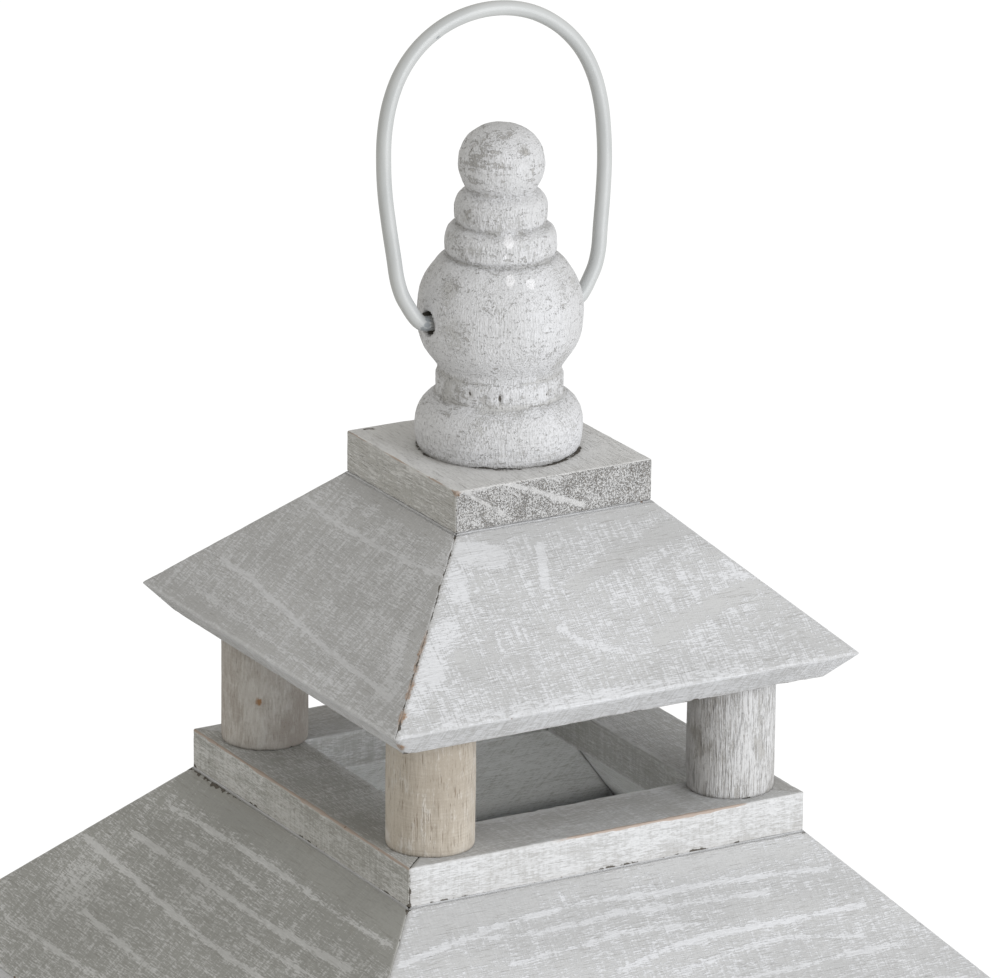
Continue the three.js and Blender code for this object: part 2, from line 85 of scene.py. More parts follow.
# ------------------------------------------------------------------ noise for mesh shaping
def _lattice(q, seed):
    i = np.floor(q).astype(np.int64)
    f = q - i
    u = f * f * f * (f * (f * 6 - 15) + 10)
    out = np.zeros(len(q))
    for dx in (0, 1):
        for dy in (0, 1):
            for dz in (0, 1):
                h = ((i[:, 0] + dx) * 73856093) ^ ((i[:, 1] + dy) * 19349663) ^ ((i[:, 2] + dz) * 83492791)
                h = (h ^ (seed * 40503)) & 0xFFFFFF
                h = ((h ^ (h >> 11)) * 2246822519) & 0xFFFFFFFF
                h = ((h ^ (h >> 15)) * 1274126177 & 0xFFFFFFFF)
                h = h ^ (h >> 16)
                w = ((u[:, 0] if dx else 1 - u[:, 0]) * (u[:, 1] if dy else 1 - u[:, 1])
                     * (u[:, 2] if dz else 1 - u[:, 2]))
                out += w * (h / 2147483648.0 - 1.0)
    return out


def vnoise(p, size, seed=0, octaves=2, rough=0.5):
    """Value noise in about -1..1 at points p (n,3) in mm; size is the feature size in mm."""
    p = np.asarray(p, float)
    shape = p.shape[:-1]
    q = p.reshape(-1, 3) / np.asarray(size, float)
    out, amp, tot = 0.0, 1.0, 0.0
    for o in range(octaves):
        out = out + amp * _lattice(q * 2.0 ** o + 31.7 * (o + 1), seed + 13 * o)
        tot += amp
        amp *= rough
    return (out / tot).reshape(shape)


def sstep(x, lo, hi):
    t = np.clip((np.asarray(x, float) - lo) / (hi - lo), 0, 1)
    return t * t * (3 - 2 * t)


# ------------------------------------------------------------------ mesh output
def make(name, co, faces, body, replaced, mats, gc, m1=None, m2=None, face_mat=None, flat=False):
    """One closed piece. co in mm (n,3); gc grain coordinates in mm; m1 = (white, bare, warm), white also carrying
    painted light on some faces; m2 = (wear, dirt with painted contact shade, painted shade with a thinner wash; on the
    finial, smudges with some painted shade).
    """
    me = bpy.data.meshes.new(name)
    me.from_pydata((np.asarray(co) / 1000.0).tolist(), [], faces)
    me.validate(clean_customdata=False)
    n = len(me.vertices)
    a = me.attributes.new("gc", "FLOAT_VECTOR", "POINT")
    a.data.foreach_set("vector", np.asarray(gc, np.float32).ravel())
    for key, val in (("m1", m1), ("m2", m2)):
        v = np.zeros((n, 3), np.float32) if val is None else np.asarray(val, np.float32)
        a = me.attributes.new(key, "FLOAT_VECTOR", "POINT")
        a.data.foreach_set("vector", v.ravel())
    for m in mats:
        me.materials.append(m)
    if face_mat is not None:
        me.polygons.foreach_set("material_index", np.asarray(face_mat, np.int32))
    me.polygons.foreach_set("use_smooth", np.full(len(me.polygons), not flat))
    me.update()
    ob = bpy.data.objects.new(name, me)
    bpy.context.scene.collection.objects.link(ob)
    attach(ob, body)
    if replaced:
        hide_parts(*replaced)
    return ob


def outward(co, faces):
    """Turns the faces round if the closed mesh's volume comes out negative."""
    tri = []
    for f in faces:
        for k in range(1, len(f) - 1):
            tri.append((f[0], f[k], f[k + 1]))
    t = np.asarray(tri)
    a, b, c = co[t[:, 0]], co[t[:, 1]], co[t[:, 2]]
    if np.einsum("ij,ij->i", a, np.cross(b, c)).sum() < 0:
        faces = [tuple(reversed(f)) for f in faces]
    return faces


SIDE = {"front": 0, "right": 90, "back": 180, "left": 270}


def turn_z(p, deg):
    a = math.radians(deg)
    c, s = math.cos(a), math.sin(a)
    q = np.array(p, float)
    x, y = q[..., 0].copy(), q[..., 1].copy()
    q[..., 0], q[..., 1] = c * x - s * y, s * x + c * y
    return q


def prism(corners, steps, radii, along, chips, seed, mitre=True, play=0.12, groove=0.3, groove_chip=0.7,
          sec=1.5, wob=0.10, half=None, wob_size=(40, 12, 12)):
    """A board: the profile `corners` (u, z) swept along X, its ends mitred at 45 degrees or cut square.

    The arrises are rounded, with a radius that changes along the board so that they look worn and chipped.
    Returns points (n,3) as (x, u, z), faces, grain coordinates, closeness to an arris, closeness to an end,
    and per point the profile edge it lies on with its place along that edge.
    """
    C = np.asarray(corners, float)
    n = len(C)
    if mitre:
        L = lambda u: u - play
        longest = C[:, 0].max()
    else:
        L = lambda u: np.full_like(u, half)
        longest = half
    ns = max(4, int(2 * longest / sec))
    t = np.linspace(-1, 1, ns)
    # sections: three worn ones at each end
    kinds = [("e", -1, k) for k in range(4)] + [("m", v, 0) for v in t] + [("e", 1, k) for k in (3, 2, 1, 0)]
    S = len(kinds)
    d_prev = np.array([(C[i - 1] - C[i]) / np.linalg.norm(C[i - 1] - C[i]) for i in range(n)])
    d_next = np.array([(C[(i + 1) % n] - C[i]) / np.linalg.norm(C[(i + 1) % n] - C[i]) for i in range(n)])
    elen = np.array([np.linalg.norm(C[(i + 1) % n] - C[i]) for i in range(n)])
    area = 0.5 * sum(C[i][0] * C[(i + 1) % n][1] - C[(i + 1) % n][0] * C[i][1] for i in range(n))
    sgn = 1.0 if area > 0 else -1.0
    enorm = np.array([[d[1], -d[0]] for d in d_next]) * sgn     # outward normals of the edges
    # approximate x of each section, for the wear noise along the arris
    xs = np.array([(k[1] * longest) for k in kinds])
    rad = np.zeros((S, n))
    for j in range(n):
        p = np.stack([xs + 777.0 * seed + 50 * j, np.full(S, 3.1 * j), np.full(S, 7.7)], 1)
        big = np.clip(vnoise(p, (9, 5, 5), seed + j, 3, 0.6) - 0.12, 0, 1)
        small = vnoise(p, (2.6, 5, 5), seed + 50 + j, 2)
        rad[:, j] = np.clip(radii[j] * (1 + 0.35 * small) + chips[j] * big * 2.2, 0.05, 0.42 * min(elen[j], elen[j - 1]))
    pts, nrm, arc, wear, edge_id, edge_v = [], [], [], [], [], []
    arc0 = 0.0
    for j in range(n):
        k = (j + 1) % n
        # fillet at corner j
        for s in (0.0, 0.25, 0.5, 0.75, 1.0):
            a = rad[:, j][:, None]
            P = C[j] + d_prev[j] * a * (1 - s) ** 2 + d_next[j] * a * s ** 2
            nn = enorm[j - 1] * (1 - s) + enorm[j] * s
            nn = nn / np.linalg.norm(nn)
            pts.append(P)
            nrm.append(np.tile(nn, (S, 1)))
            arc.append(np.full(S, arc0) + (s - 0.5) * 2 * rad[:, j] * 0.8)
            wear.append(np.full(S, 1.0))
            edge_id.append(j)
            edge_v.append(0.0)
        # flat of edge j
        step = steps[j]
        m = max(1, int(elen[j] / step))
        taus = list(np.linspace(0, 1, m + 1)[1:-1]) if m > 1 else []
        q = [0.55 / elen[j]] if elen[j] > 4 else []
        q2 = [1 - 0.55 / elen[j]] if elen[j] > 4 else []
        for tau in q + taus + q2:
            a0 = C[j] + d_next[j] * rad[:, j][:, None]
            a1 = C[k] + d_prev[k] * rad[:, k][:, None]
            pts.append(a0 * (1 - tau) + a1 * tau)
            nrm.append(np.tile(enorm[j], (S, 1)))
            arc.append(np.full(S, arc0 + tau * elen[j]))
            d = min(tau, 1 - tau) * elen[j]
            wear.append(np.full(S, math.exp(-d / 0.7)))
            edge_id.append(j)
            edge_v.append(tau * elen[j])
        arc0 += elen[j]
    P = np.stack(pts, 1)          # S, K, 2
    Nn = np.stack(nrm, 1)
    A = np.stack(arc, 1)
    W = np.stack(wear, 1)
    K = P.shape[1]
    Lu = L(P[:, :, 0])
    X = np.zeros((S, K))
    endd = np.full((S, K), 99.0)
    pe = np.stack([A[0] + 200.0 * seed, np.zeros(K), np.zeros(K)], 1)
    for i, (kind, v, idx) in enumerate(kinds):
        if kind == "m":
            X[i] = v * (Lu[i] - 2.2)
            endd[i] = Lu[i] - np.abs(X[i])
        else:
            g = groove * (1 + 0.5 * vnoise(pe, (3, 3, 3), seed + 7 + (v > 0), 2)) + groove_chip * 2.0 * np.clip(
                vnoise(pe, (2.4, 3, 3), seed + 90 + (v > 0), 2, 0.6) - 0.25, 0, 1)
            off = (0.0, 0.4, 1.0, None)[idx]
            off = (g * off) if off is not None else np.maximum(g + 0.35, 1.3)
            X[i] = v * (Lu[i] - off)
            endd[i] = off
            dep = (1.0, 0.45, 0.0, 0.0)[idx] * g
            P[i] = P[i] - Nn[i] * dep[:, None]
    co = np.stack([X, P[:, :, 0], P[:, :, 1]], 2)
    wv = wob * vnoise(co + 131.0 * seed, wob_size, seed + 3, 2)
    fade = sstep(endd, 0.5, 6)
    co[:, :, 1] += Nn[:, :, 0] * wv * fade
    co[:, :, 2] += Nn[:, :, 1] * wv * fade
    gc = np.stack([X + 400.0 * seed, A + 90.0 * seed, np.full_like(X, 37.0 * seed)], 2)
    faces = []
    for i in range(S - 1):
        for k in range(K):
            k2 = (k + 1) % K
            faces.append((i * K + k, i * K + k2, (i + 1) * K + k2, (i + 1) * K + k))
    faces.append(tuple(range(K - 1, -1, -1)))
    faces.append(tuple((S - 1) * K + k for k in range(K)))
    hip = np.exp(-np.maximum(endd, 0) / 0.9)
    ids = np.tile(np.array(edge_id), (S, 1))
    ev = np.tile(np.array(edge_v), (S, 1))
    return dict(co=co.reshape(-1, 3), faces=faces, gc=gc.reshape(-1, 3), wear=W.ravel(), hip=hip.ravel(),
                edge=ids.ravel(), v=ev.ravel(), x=X.ravel())


def strokes(x, v, items):
    """Sum of soft brush strokes (x0, v0, x1, v1, half width, strength) at points (x, v), in mm."""
    out = np.zeros(len(x))
    for x0, v0, x1, v1, w, k in items:
        dx, dv = x1 - x0, v1 - v0
        l2 = dx * dx + dv * dv or 1e-9
        s = np.clip(((x - x0) * dx + (v - v0) * dv) / l2, 0, 1)
        d = np.hypot(x - (x0 + s * dx), v - (v0 + s * dv))
        out += k * (1 - sstep(d, w * 0.45, w))
    return out


def rbox(lo, hi, res, r0, chip, seed, grain="x", wob=0.1, edge=0.45):
    """A block with worn, rounded arrises. Returns the same kind of dict as prism()."""
    lo, hi = np.asarray(lo, float), np.asarray(hi, float)
    ctr, h = (lo + hi) / 2, (hi - lo) / 2

    def axis(hh):
        m = max(2, int(2 * hh / res))
        e = [0, edge, 2 * edge, 3.2 * edge]
        e = [q for q in e if q < hh * 0.8]
        inner = np.linspace(-hh + 4.5 * edge, hh - 4.5 * edge, m) if hh > 6 * edge else np.array([0.0])
        return np.concatenate([[-hh + q for q in e], inner, [hh - q for q in reversed(e)]])

    ax = [axis(v) for v in h]
    index, pts, faces, fax = {}, [], [], []

    def vid(i, j, k):
        key = (i, j, k)
        if key not in index:
            index[key] = len(pts)
            pts.append((ax[0][i], ax[1][j], ax[2][k]))
        return index[key]

    n = [len(a) for a in ax]
    for a in range(3):
        b, c = (a + 1) % 3, (a + 2) % 3
        for side in (0, n[a] - 1):
            for i in range(n[b] - 1):
                for j in range(n[c] - 1):
                    q = []
                    for di, dj in ((0, 0), (1, 0), (1, 1), (0, 1)):
                        ijk = [0, 0, 0]
                        ijk[a], ijk[b], ijk[c] = side, i + di, j + dj
                        q.append(vid(*ijk))
                    faces.append(tuple(q if side else reversed(q)))
                    fax.append(a if side else a + 3)
    p = np.array(pts)
    big = np.clip(vnoise(p + 211 * seed, (7, 7, 7), seed, 3, 0.6) - 0.15, 0, 1)
    small = vnoise(p + 211 * seed, (2.2, 2.2, 2.2), seed + 5, 2)
    r = np.clip(r0 * (1 + 0.4 * small) + chip * 2.2 * big, 0.08, 0.45 * h.min())[:, None]
    q = np.clip(p, -(h - r), h - r)
    d = p - q
    ln = np.linalg.norm(d, axis=1, keepdims=True)
    out = q + r * d / np.maximum(ln, 1e-9)
    near = np.sort(h - np.abs(p), axis=1)[:, 1]         # distance to the nearest arris
    wear = np.exp(-np.maximum(near - 0.3, 0) / 0.6)
    nr = d / np.maximum(ln, 1e-9)
    out += nr * (wob * vnoise(p + 77 * seed, (30, 12, 12), seed + 9, 2))[:, None]
    g = {"x": (0, 1, 2), "y": (1, 0, 2), "z": (2, 0, 1)}[grain]
    gc = p[:, g] + np.array([400.0, 90.0, 37.0]) * seed
    return dict(co=out + ctr, faces=faces, gc=gc, wear=wear, hip=np.zeros(len(p)), p=p + ctr, n=nr, face_axis=np.array(fax))


# ------------------------------------------------------------------ shader building
class Shader:
    def __init__(self, name):
        self.m = bpy.data.materials.new(name)
        self.m.use_nodes = True
        self.t = self.m.node_tree
        self.t.nodes.clear()
        self.out = self.t.nodes.new("ShaderNodeOutputMaterial")
        self.b = self.t.nodes.new("ShaderNodeBsdfPrincipled")
        self.t.links.new(self.b.outputs[0], self.out.inputs[0])

    def put(self, sock, v):
        if isinstance(v, bpy.types.NodeSocket):
            self.t.links.new(v, sock)
        else:
            if isinstance(v, (tuple, list)) and len(v) == 3 and sock.type == "RGBA":
                v = tuple(v) + (1.0,)
            sock.default_value = v
        return sock

    def attr(self, name):
        n = self.t.nodes.new("ShaderNodeAttribute")
        n.attribute_type = "GEOMETRY"
        n.attribute_name = name
        return n.outputs["Vector"]

    def split(self, v):
        n = self.t.nodes.new("ShaderNodeSeparateXYZ")
        self.put(n.inputs[0], v)
        return n.outputs[0], n.outputs[1], n.outputs[2]

    def join(self, x, y, z):
        n = self.t.nodes.new("ShaderNodeCombineXYZ")
        for s, v in zip(n.inputs, (x, y, z)):
            self.put(s, v)
        return n.outputs[0]

    def vm(self, op, a, b):
        n = self.t.nodes.new("ShaderNodeVectorMath")
        n.operation = op
        self.put(n.inputs[0], a)
        self.put(n.inputs[1], b)
        return n.outputs[0]

    def math(self, op, a, b=0.0, c=None, clamp=False):
        n = self.t.nodes.new("ShaderNodeMath")
        n.operation = op
        n.use_clamp = clamp
        self.put(n.inputs[0], a)
        self.put(n.inputs[1], b)
        if c is not None:
            self.put(n.inputs[2], c)
        return n.outputs[0]

    def noise(self, v, size, detail=2.0, rough=0.5, off=0.0, dist=0.0):
        """Noise whose features measure `size` mm along the three grain axes."""
        if not isinstance(size, tuple):
            size = (size, size, size)
        q = self.vm("MULTIPLY", v, tuple(1.0 / s for s in size))
        if off:
            q = self.vm("ADD", q, (off, off * 0.7, off * 1.3))
        n = self.t.nodes.new("ShaderNodeTexNoise")
        self.put(n.inputs["Vector"], q)
        n.inputs["Scale"].default_value = 1.0
        n.inputs["Detail"].default_value = detail
        n.inputs["Roughness"].default_value = rough
        n.inputs["Distortion"].default_value = dist
        return n.outputs["Fac"]

    def step(self, x, lo, hi, a=0.0, b=1.0):
        n = self.t.nodes.new("ShaderNodeMapRange")
        n.interpolation_type = "SMOOTHSTEP"
        self.put(n.inputs["Value"], x)
        for k, v in (("From Min", lo), ("From Max", hi), ("To Min", a), ("To Max", b)):
            n.inputs[k].default_value = v
        return n.outputs["Result"]

    def mix(self, f, a, b):
        n = self.t.nodes.new("ShaderNodeMix")
        n.data_type = "RGBA"
        self.put(n.inputs[0], f)
        self.put(n.inputs[6], a)
        self.put(n.inputs[7], b)
        return n.outputs[2]

    def wsum(self, bias, *terms):
        """bias + the sum of weight * (value - 0.5)."""
        acc = None
        for w, x in terms:
            k = self.math("MULTIPLY_ADD", x, w, -0.5 * w)
            acc = k if acc is None else self.math("ADD", acc, k)
        return self.math("ADD", acc, bias)

    def add(self, *xs):
        acc = xs[0]
        for x in xs[1:]:
            acc = self.math("ADD", acc, x)
        return acc

    def mul(self, a, b):
        return self.math("MULTIPLY", a, b)

    def bump(self, h, dist_mm, strength=1.0, normal=None):
        n = self.t.nodes.new("ShaderNodeBump")
        n.inputs["Strength"].default_value = strength
        n.inputs["Distance"].default_value = dist_mm / 1000.0
        self.put(n.inputs["Height"], h)
        if normal is not None:
            self.put(n.inputs["Normal"], normal)
        return n.outputs[0]


RAW = (0.30, 0.175, 0.095)      # bare wood at a worn arris
DIRT_AND_SHADE = (0.050, 0.042, 0.034)


def whitewash(name, ground=(0.44, 0.442, 0.448), ground2=(0.52, 0.523, 0.53), white=(0.665, 0.673, 0.70), bias=0.48,
              patch=0.30, patch_size=(13, 7, 7), streak=0.74, streak_size=(2.7, 0.36, 0.5), saw=0.52,
              saw_size=(0.45, 9, 9), saw2=0.26, fine=0.46, edge_soft=0.12, fleck=0.25, smudge=0.0, pores=0.35, pore_size=(9.0, 0.28, 0.28),
              pore_col=(0.25, 0.235, 0.21), wear_raw=0.5, wear_pale=0.35, relief=0.16, rough=(0.72, 0.88), end_grain=0.0,
              coords=None, tone=0.06, tint=None):
    """Brushed whitewash over wood: a thin grey-beige wash, broken fragments of white paint laid by brush strokes along
    the grain and caught on the saw marks across it, dark pores, bare wood where an arris is worn, dirt with painted
    contact shade in the joints, and painted shade as a darker, greener wash on faces in shade."""
    s = Shader(name)
    if coords is None:
        gc = s.attr("gc")
        w1, bare, warm = s.split(s.attr("m1"))
        wear, dirt_and_contact_shade, thin_wash_smudge_and_shade = s.split(s.attr("m2"))
    else:
        tc = s.t.nodes.new("ShaderNodeTexCoord")
        v = s.vm("MULTIPLY", tc.outputs["Object"], (1000.0, 1000.0, 1000.0))
        x, y, z = s.split(v)
        gc = s.join(*{"x": (x, y, z), "y": (y, x, z), "z": (z, x, y)}[coords])
        w1 = bare = warm = wear = dirt_and_contact_shade = thin_wash_smudge_and_shade = 0.0
    n_patch = s.noise(gc, patch_size, 3, 0.55, 3.0)
    n_str = s.noise(gc, streak_size, 2, 0.6, 11.0, 0.4)
    n_saw = s.noise(gc, saw_size, 1.5, 0.5, 23.0, 0.3)
    n_saw2 = s.noise(gc, (1.5, 26, 26), 1.5, 0.5, 29.0, 0.2)
    n_fine = s.noise(gc, (1.1, 0.5, 0.5), 2, 0.6, 31.0)
    n_tone = s.noise(gc, (60, 25, 25), 2, 0.5, 41.0)
    n_pore = s.noise(gc, pore_size, 2, 0.55, 57.0, 0.2)
    raw = s.wsum(bias, (patch, n_patch), (streak, n_str), (saw, n_saw), (saw2, n_saw2), (fine, n_fine))
    raw = s.add(raw, s.mul(w1, 1.0), s.mul(bare, -1.0)) if coords is None else raw
    paint = s.mul(s.step(raw, 0.5 - edge_soft, 0.5 + edge_soft), s.step(s.wsum(0.5, (1.5, n_tone), (1.2, n_str)), 0.3, 0.75, 0.62, 1.0))
    base = s.mix(s.step(s.wsum(0.5, (1.6, n_tone), (0.9, n_str), (0.5, n_saw)), 0.2, 0.8), ground, ground2)
    # painted shade: the ground is darkened and greened where the shade channel is set
    if coords is None and not smudge:
        gm = s.t.nodes.new("ShaderNodeMix")
        gm.data_type = "RGBA"
        gm.blend_type = "MULTIPLY"
        s.put(gm.inputs[0], s.math("MULTIPLY", thin_wash_smudge_and_shade, 1.0, clamp=True))
        s.put(gm.inputs[6], base)
        s.put(gm.inputs[7], (0.705, 0.71, 0.69))
        base = gm.outputs[2]
    pore = s.mul(s.step(n_pore, 0.60, 0.72), pores)
    base = s.mix(pore, base, pore_col)
    whitev = s.mix(s.step(n_fine, 0.3, 0.7), tuple(c * 0.93 for c in white), white)
    whitev = s.mix(s.mul(pore, 0.35), whitev, pore_col)
    n_fl = s.noise(gc, (0.8, 0.42, 0.42), 2, 0.6, 63.0)
    flk = s.mul(s.step(n_fl, 0.56, 0.70), fleck)
    base = s.mix(flk, base, pore_col)
    whitev = s.mix(s.mul(flk, 0.8), whitev, ground)
    # the ground shows a little through the thin edge of each paint fragment
    col = s.mix(paint, base, whitev)
    if coords is None:
        thick = s.step(s.add(w1, s.wsum(0.0, (0.5, n_fine), (0.4, n_str))), 0.62, 0.78)
        col = s.mix(thick, col, (0.80, 0.80, 0.825))
    height = s.add(s.mul(paint, 0.55), s.mul(n_str, 0.35), s.mul(n_saw, 0.25), s.mul(pore, -0.8))
    if end_grain:
        # cut fibre ends: dark specks between crumbs of white paint
        sp = s.noise(gc, (3.0, 0.46, 0.46), 3, 0.8, 71.0)
        sp2 = s.noise(gc, (6.0, 0.42, 0.42), 2, 0.7, 83.0)
        deep = s.step(s.wsum(0.5, (1.0, sp), (0.8, sp2), (0.35, n_patch)), 0.50, 0.63)
        keep = s.math("SUBTRACT", 1.0, s.step(s.add(w1, 0.0), 0.12, 0.5))
        deep = s.mul(s.mul(deep, keep), end_grain)
        spk = s.mix(s.step(sp2, 0.42, 0.62), (0.105, 0.088, 0.075), (0.30, 0.28, 0.255))
        col = s.mix(deep, col, spk)
        height = s.add(height, s.mul(deep, -1.6))
    if coords is None:
        # warm, bare patches
        wm = s.step(s.wsum(0.0, (0.9, n_patch), (0.7, n_str), (0.5, n_fine)), -0.2, 0.5)
        wmask = s.step(s.add(warm, s.mul(wm, 0.55)), 0.55, 0.95)
        col = s.mix(s.mul(wmask, s.step(warm, 0.02, 0.2)), col, RAW)
        # arrises: a paler worn line, and bare wood where it has chipped
        n_e = s.noise(gc, (7, 3, 3), 3, 0.6, 97.0)
        n_e2 = s.noise(gc, (1.4, 0.8, 0.8), 2, 0.6, 101.0)
        pale = s.mul(s.step(wear, 0.25, 0.95), wear_pale)
        col = s.mix(pale, col, tuple(min(1.0, c * 1.06) for c in white))
        chip = s.step(s.wsum(0.0, (1.5, n_e), (0.9, n_e2)), 0.60 - wear_raw * 0.62, 0.70 - wear_raw * 0.62)
        chip = s.mul(chip, s.step(wear, 0.72, 0.98))
        chipc = s.mix(s.step(n_e2, 0.4, 0.62), RAW, (0.17, 0.10, 0.06))
        col = s.mix(chip, col, chipc)
        # dirt and painted contact shade where parts meet: near-black broken lines and a soft darkening
        n_j = s.noise(gc, (2.0, 2.0, 2.0), 3, 0.65, 113.0)
        n_j2 = s.noise(gc, (12.0, 12.0, 12.0), 1, 0.5, 127.0)
        dark_dirt_and_shade = s.step(s.add(dirt_and_contact_shade, s.wsum(0.0, (1.2, n_j), (1.0, n_j2))), 0.72, 0.88)
        col = s.mix(dark_dirt_and_shade, col, DIRT_AND_SHADE)
        soft_dirt_and_shade = s.mul(s.step(dirt_and_contact_shade, 0.02, 0.7), 0.25)
        col = s.mix(soft_dirt_and_shade, col, (0.27, 0.25, 0.22))
        height = s.add(height, s.mul(dark_dirt_and_shade, -1.2), s.mul(chip, -0.9))
    if smudge:
        # grey-brown rubbed places where the brush skipped; on the finial also painted shade in the creases and on its
        # left side
        n_s = s.noise(gc, (1.5, 3.6, 3.6), 3, 0.7, 141.0, 1.2)
        n_s3 = s.noise(gc, (1.0, 0.5, 0.5), 2, 0.6, 149.0)
        sm = s.step(s.add(thin_wash_smudge_and_shade, s.wsum(0.0, (1.7, n_s), (1.1, n_s3), (0.6, n_saw), (0.8, n_str))), 0.26, 0.48)
        sm = s.mul(sm, s.math("SUBTRACT", 1.0, thick))
        smc = s.mix(s.step(n_s3, 0.4, 0.65), (0.27, 0.255, 0.24), (0.42, 0.41, 0.395))
        col = s.mix(s.mul(sm, smudge), col, smc)
        height = s.add(height, s.mul(sm, -0.9), s.mul(n_s3, 0.9), s.mul(n_s, 1.2))
        thin_wash_smudge_and_shade = 0.0
    if coords is None:
        # painted shade: faces that lie in shade, chiefly the left boards and the collar tops, made darker and greener;
        # partly a thinner wash
        hv = s.t.nodes.new("ShaderNodeMix")
        hv.data_type = "RGBA"
        hv.blend_type = "MULTIPLY"
        s.put(hv.inputs[0], s.math("MULTIPLY", thin_wash_smudge_and_shade, 1.0, clamp=True))
        s.put(hv.inputs[6], col)
        s.put(hv.inputs[7], (0.925, 0.92, 0.88))
        col = hv.outputs[2]
    if tint is not None:
        hs = s.t.nodes.new("ShaderNodeMix")
        hs.data_type = "RGBA"
        hs.blend_type = "MULTIPLY"
        s.put(hs.inputs[0], 1.0)
        s.put(hs.inputs[6], col)
        s.put(hs.inputs[7], tint)
        col = hs.outputs[2]
    s.put(s.b.inputs["Base Color"], col)
    s.put(s.b.inputs["Roughness"], s.step(s.wsum(0.5, (0.7, n_fine), (0.5, n_str)), 0.2, 0.8, rough[1], rough[0]))
    s.b.inputs["Specular IOR Level"].default_value = 0.35
    s.put(s.b.inputs["Normal"], s.bump(height, relief))
    return s.m


M_ROOF = whitewash("whitewash_roof")
M_ROOF_LOW = whitewash("whitewash_roof_low", patch=0.36, patch_size=(15, 4, 4), streak=0.8, streak_size=(3.4, 0.4, 0.55),
                       saw=0.34, saw_size=(0.5, 5, 5), bias=0.435)
M_TRIM = whitewash("whitewash_trim", bias=0.56, fleck=0.4, ground=(0.44, 0.435, 0.43), streak=0.5, streak_size=(4.5, 0.45, 0.6),
                   saw=0.1, white=(0.66, 0.665, 0.68), relief=0.13)
M_EAVE = whitewash("whitewash_eave", bias=0.62, streak_size=(6.0, 0.5, 0.7), saw=0.12)
M_CAP = whitewash("whitewash_cap", fleck=0.5, pores=0.6, pore_size=(6.0, 0.3, 0.3), relief=0.28, bias=0.48, ground=(0.515, 0.51, 0.502), ground2=(0.60, 0.595, 0.588), streak=0.85, patch=0.5,
                  streak_size=(7.0, 0.4, 0.4), saw=0.05, saw2=0.1, white=(0.70, 0.70, 0.705))
M_CAP_END = whitewash("whitewash_cap_end", bias=0.60, ground=(0.46, 0.44, 0.41), streak=0.3, saw=0.0, saw2=0.0, end_grain=0.85, relief=0.35,
                      white=(0.60, 0.60, 0.605))
M_FINIAL = whitewash("whitewash_finial", smudge=0.72, bias=0.64, ground=(0.47, 0.468, 0.466), ground2=(0.57, 0.57, 0.572), patch_size=(12, 9, 9),
                     patch=0.75, streak=0.5, streak_size=(2.6, 0.5, 0.5), saw=0.42, saw_size=(0.45, 7, 7), pores=0.38, fleck=0.16,
                     pore_size=(3.2, 0.3, 0.3), white=(0.69, 0.695, 0.72), relief=0.30, saw2=0.0)
M_POST_F = whitewash("dowel_front", bias=0.38, ground=(0.385, 0.34, 0.285), ground2=(0.50, 0.455, 0.395), streak=0.5, patch=0.9,
                     patch_size=(8, 5, 5), streak_size=(6, 0.6, 0.6), saw=0.0, saw2=0.0, white=(0.585, 0.555, 0.515), pores=0.75,
                     pore_size=(5.0, 0.4, 0.4), pore_col=(0.22, 0.165, 0.12))
M_POST_L = whitewash("dowel_left", bias=0.47, ground=(0.37, 0.335, 0.305), ground2=(0.47, 0.445, 0.42), streak=0.4, patch=1.0,
                     patch_size=(9, 5, 5), streak_size=(4, 0.7, 0.7), saw=0.0, saw2=0.0, white=(0.56, 0.545, 0.52), pores=0.4, edge_soft=0.2,
                     pore_size=(4.0, 0.4, 0.4), pore_col=(0.16, 0.13, 0.105))
M_POST_R = whitewash("dowel_right", bias=0.60, ground=(0.36, 0.345, 0.33), ground2=(0.46, 0.455, 0.45), streak=0.75, patch=0.5,
                     streak_size=(8, 0.4, 0.4), saw=0.0, saw2=0.0, white=(0.62, 0.62, 0.63), pores=0.75, pore_size=(6, 0.24, 0.24),
                     pore_col=(0.17, 0.155, 0.14), relief=0.3)


def paint_material():
    s = Shader("bail_enamel")
    gc = s.attr("gc")
    _, bare, _w = s.split(s.attr("m1"))
    n1 = s.noise(gc, (18, 4, 4), 2, 0.5)
    n2 = s.noise(gc, (1.6, 0.8, 0.8), 3, 0.6, 9.0)
    col = s.mix(s.step(n1, 0.3, 0.7), (0.452, 0.466, 0.472), (0.505, 0.517, 0.522))
    scuff = s.step(s.add(bare, s.wsum(0.0, (1.2, n2), (0.6, n1))), 0.62, 0.80)
    col = s.mix(scuff, col, (0.24, 0.26, 0.28))
    s.put(s.b.inputs["Base Color"], col)
    s.put(s.b.inputs["Roughness"], s.step(s.wsum(0.5, (0.6, n1), (0.6, n2)), 0.2, 0.8, 0.26, 0.42))
    s.b.inputs["Coat Weight"].default_value = 0.15
    s.b.inputs["Coat Roughness"].default_value = 0.2
    s.put(s.b.inputs["Normal"], s.bump(s.add(s.mul(n1, 1.0), s.mul(scuff, -0.4)), 0.05))
    return s.m


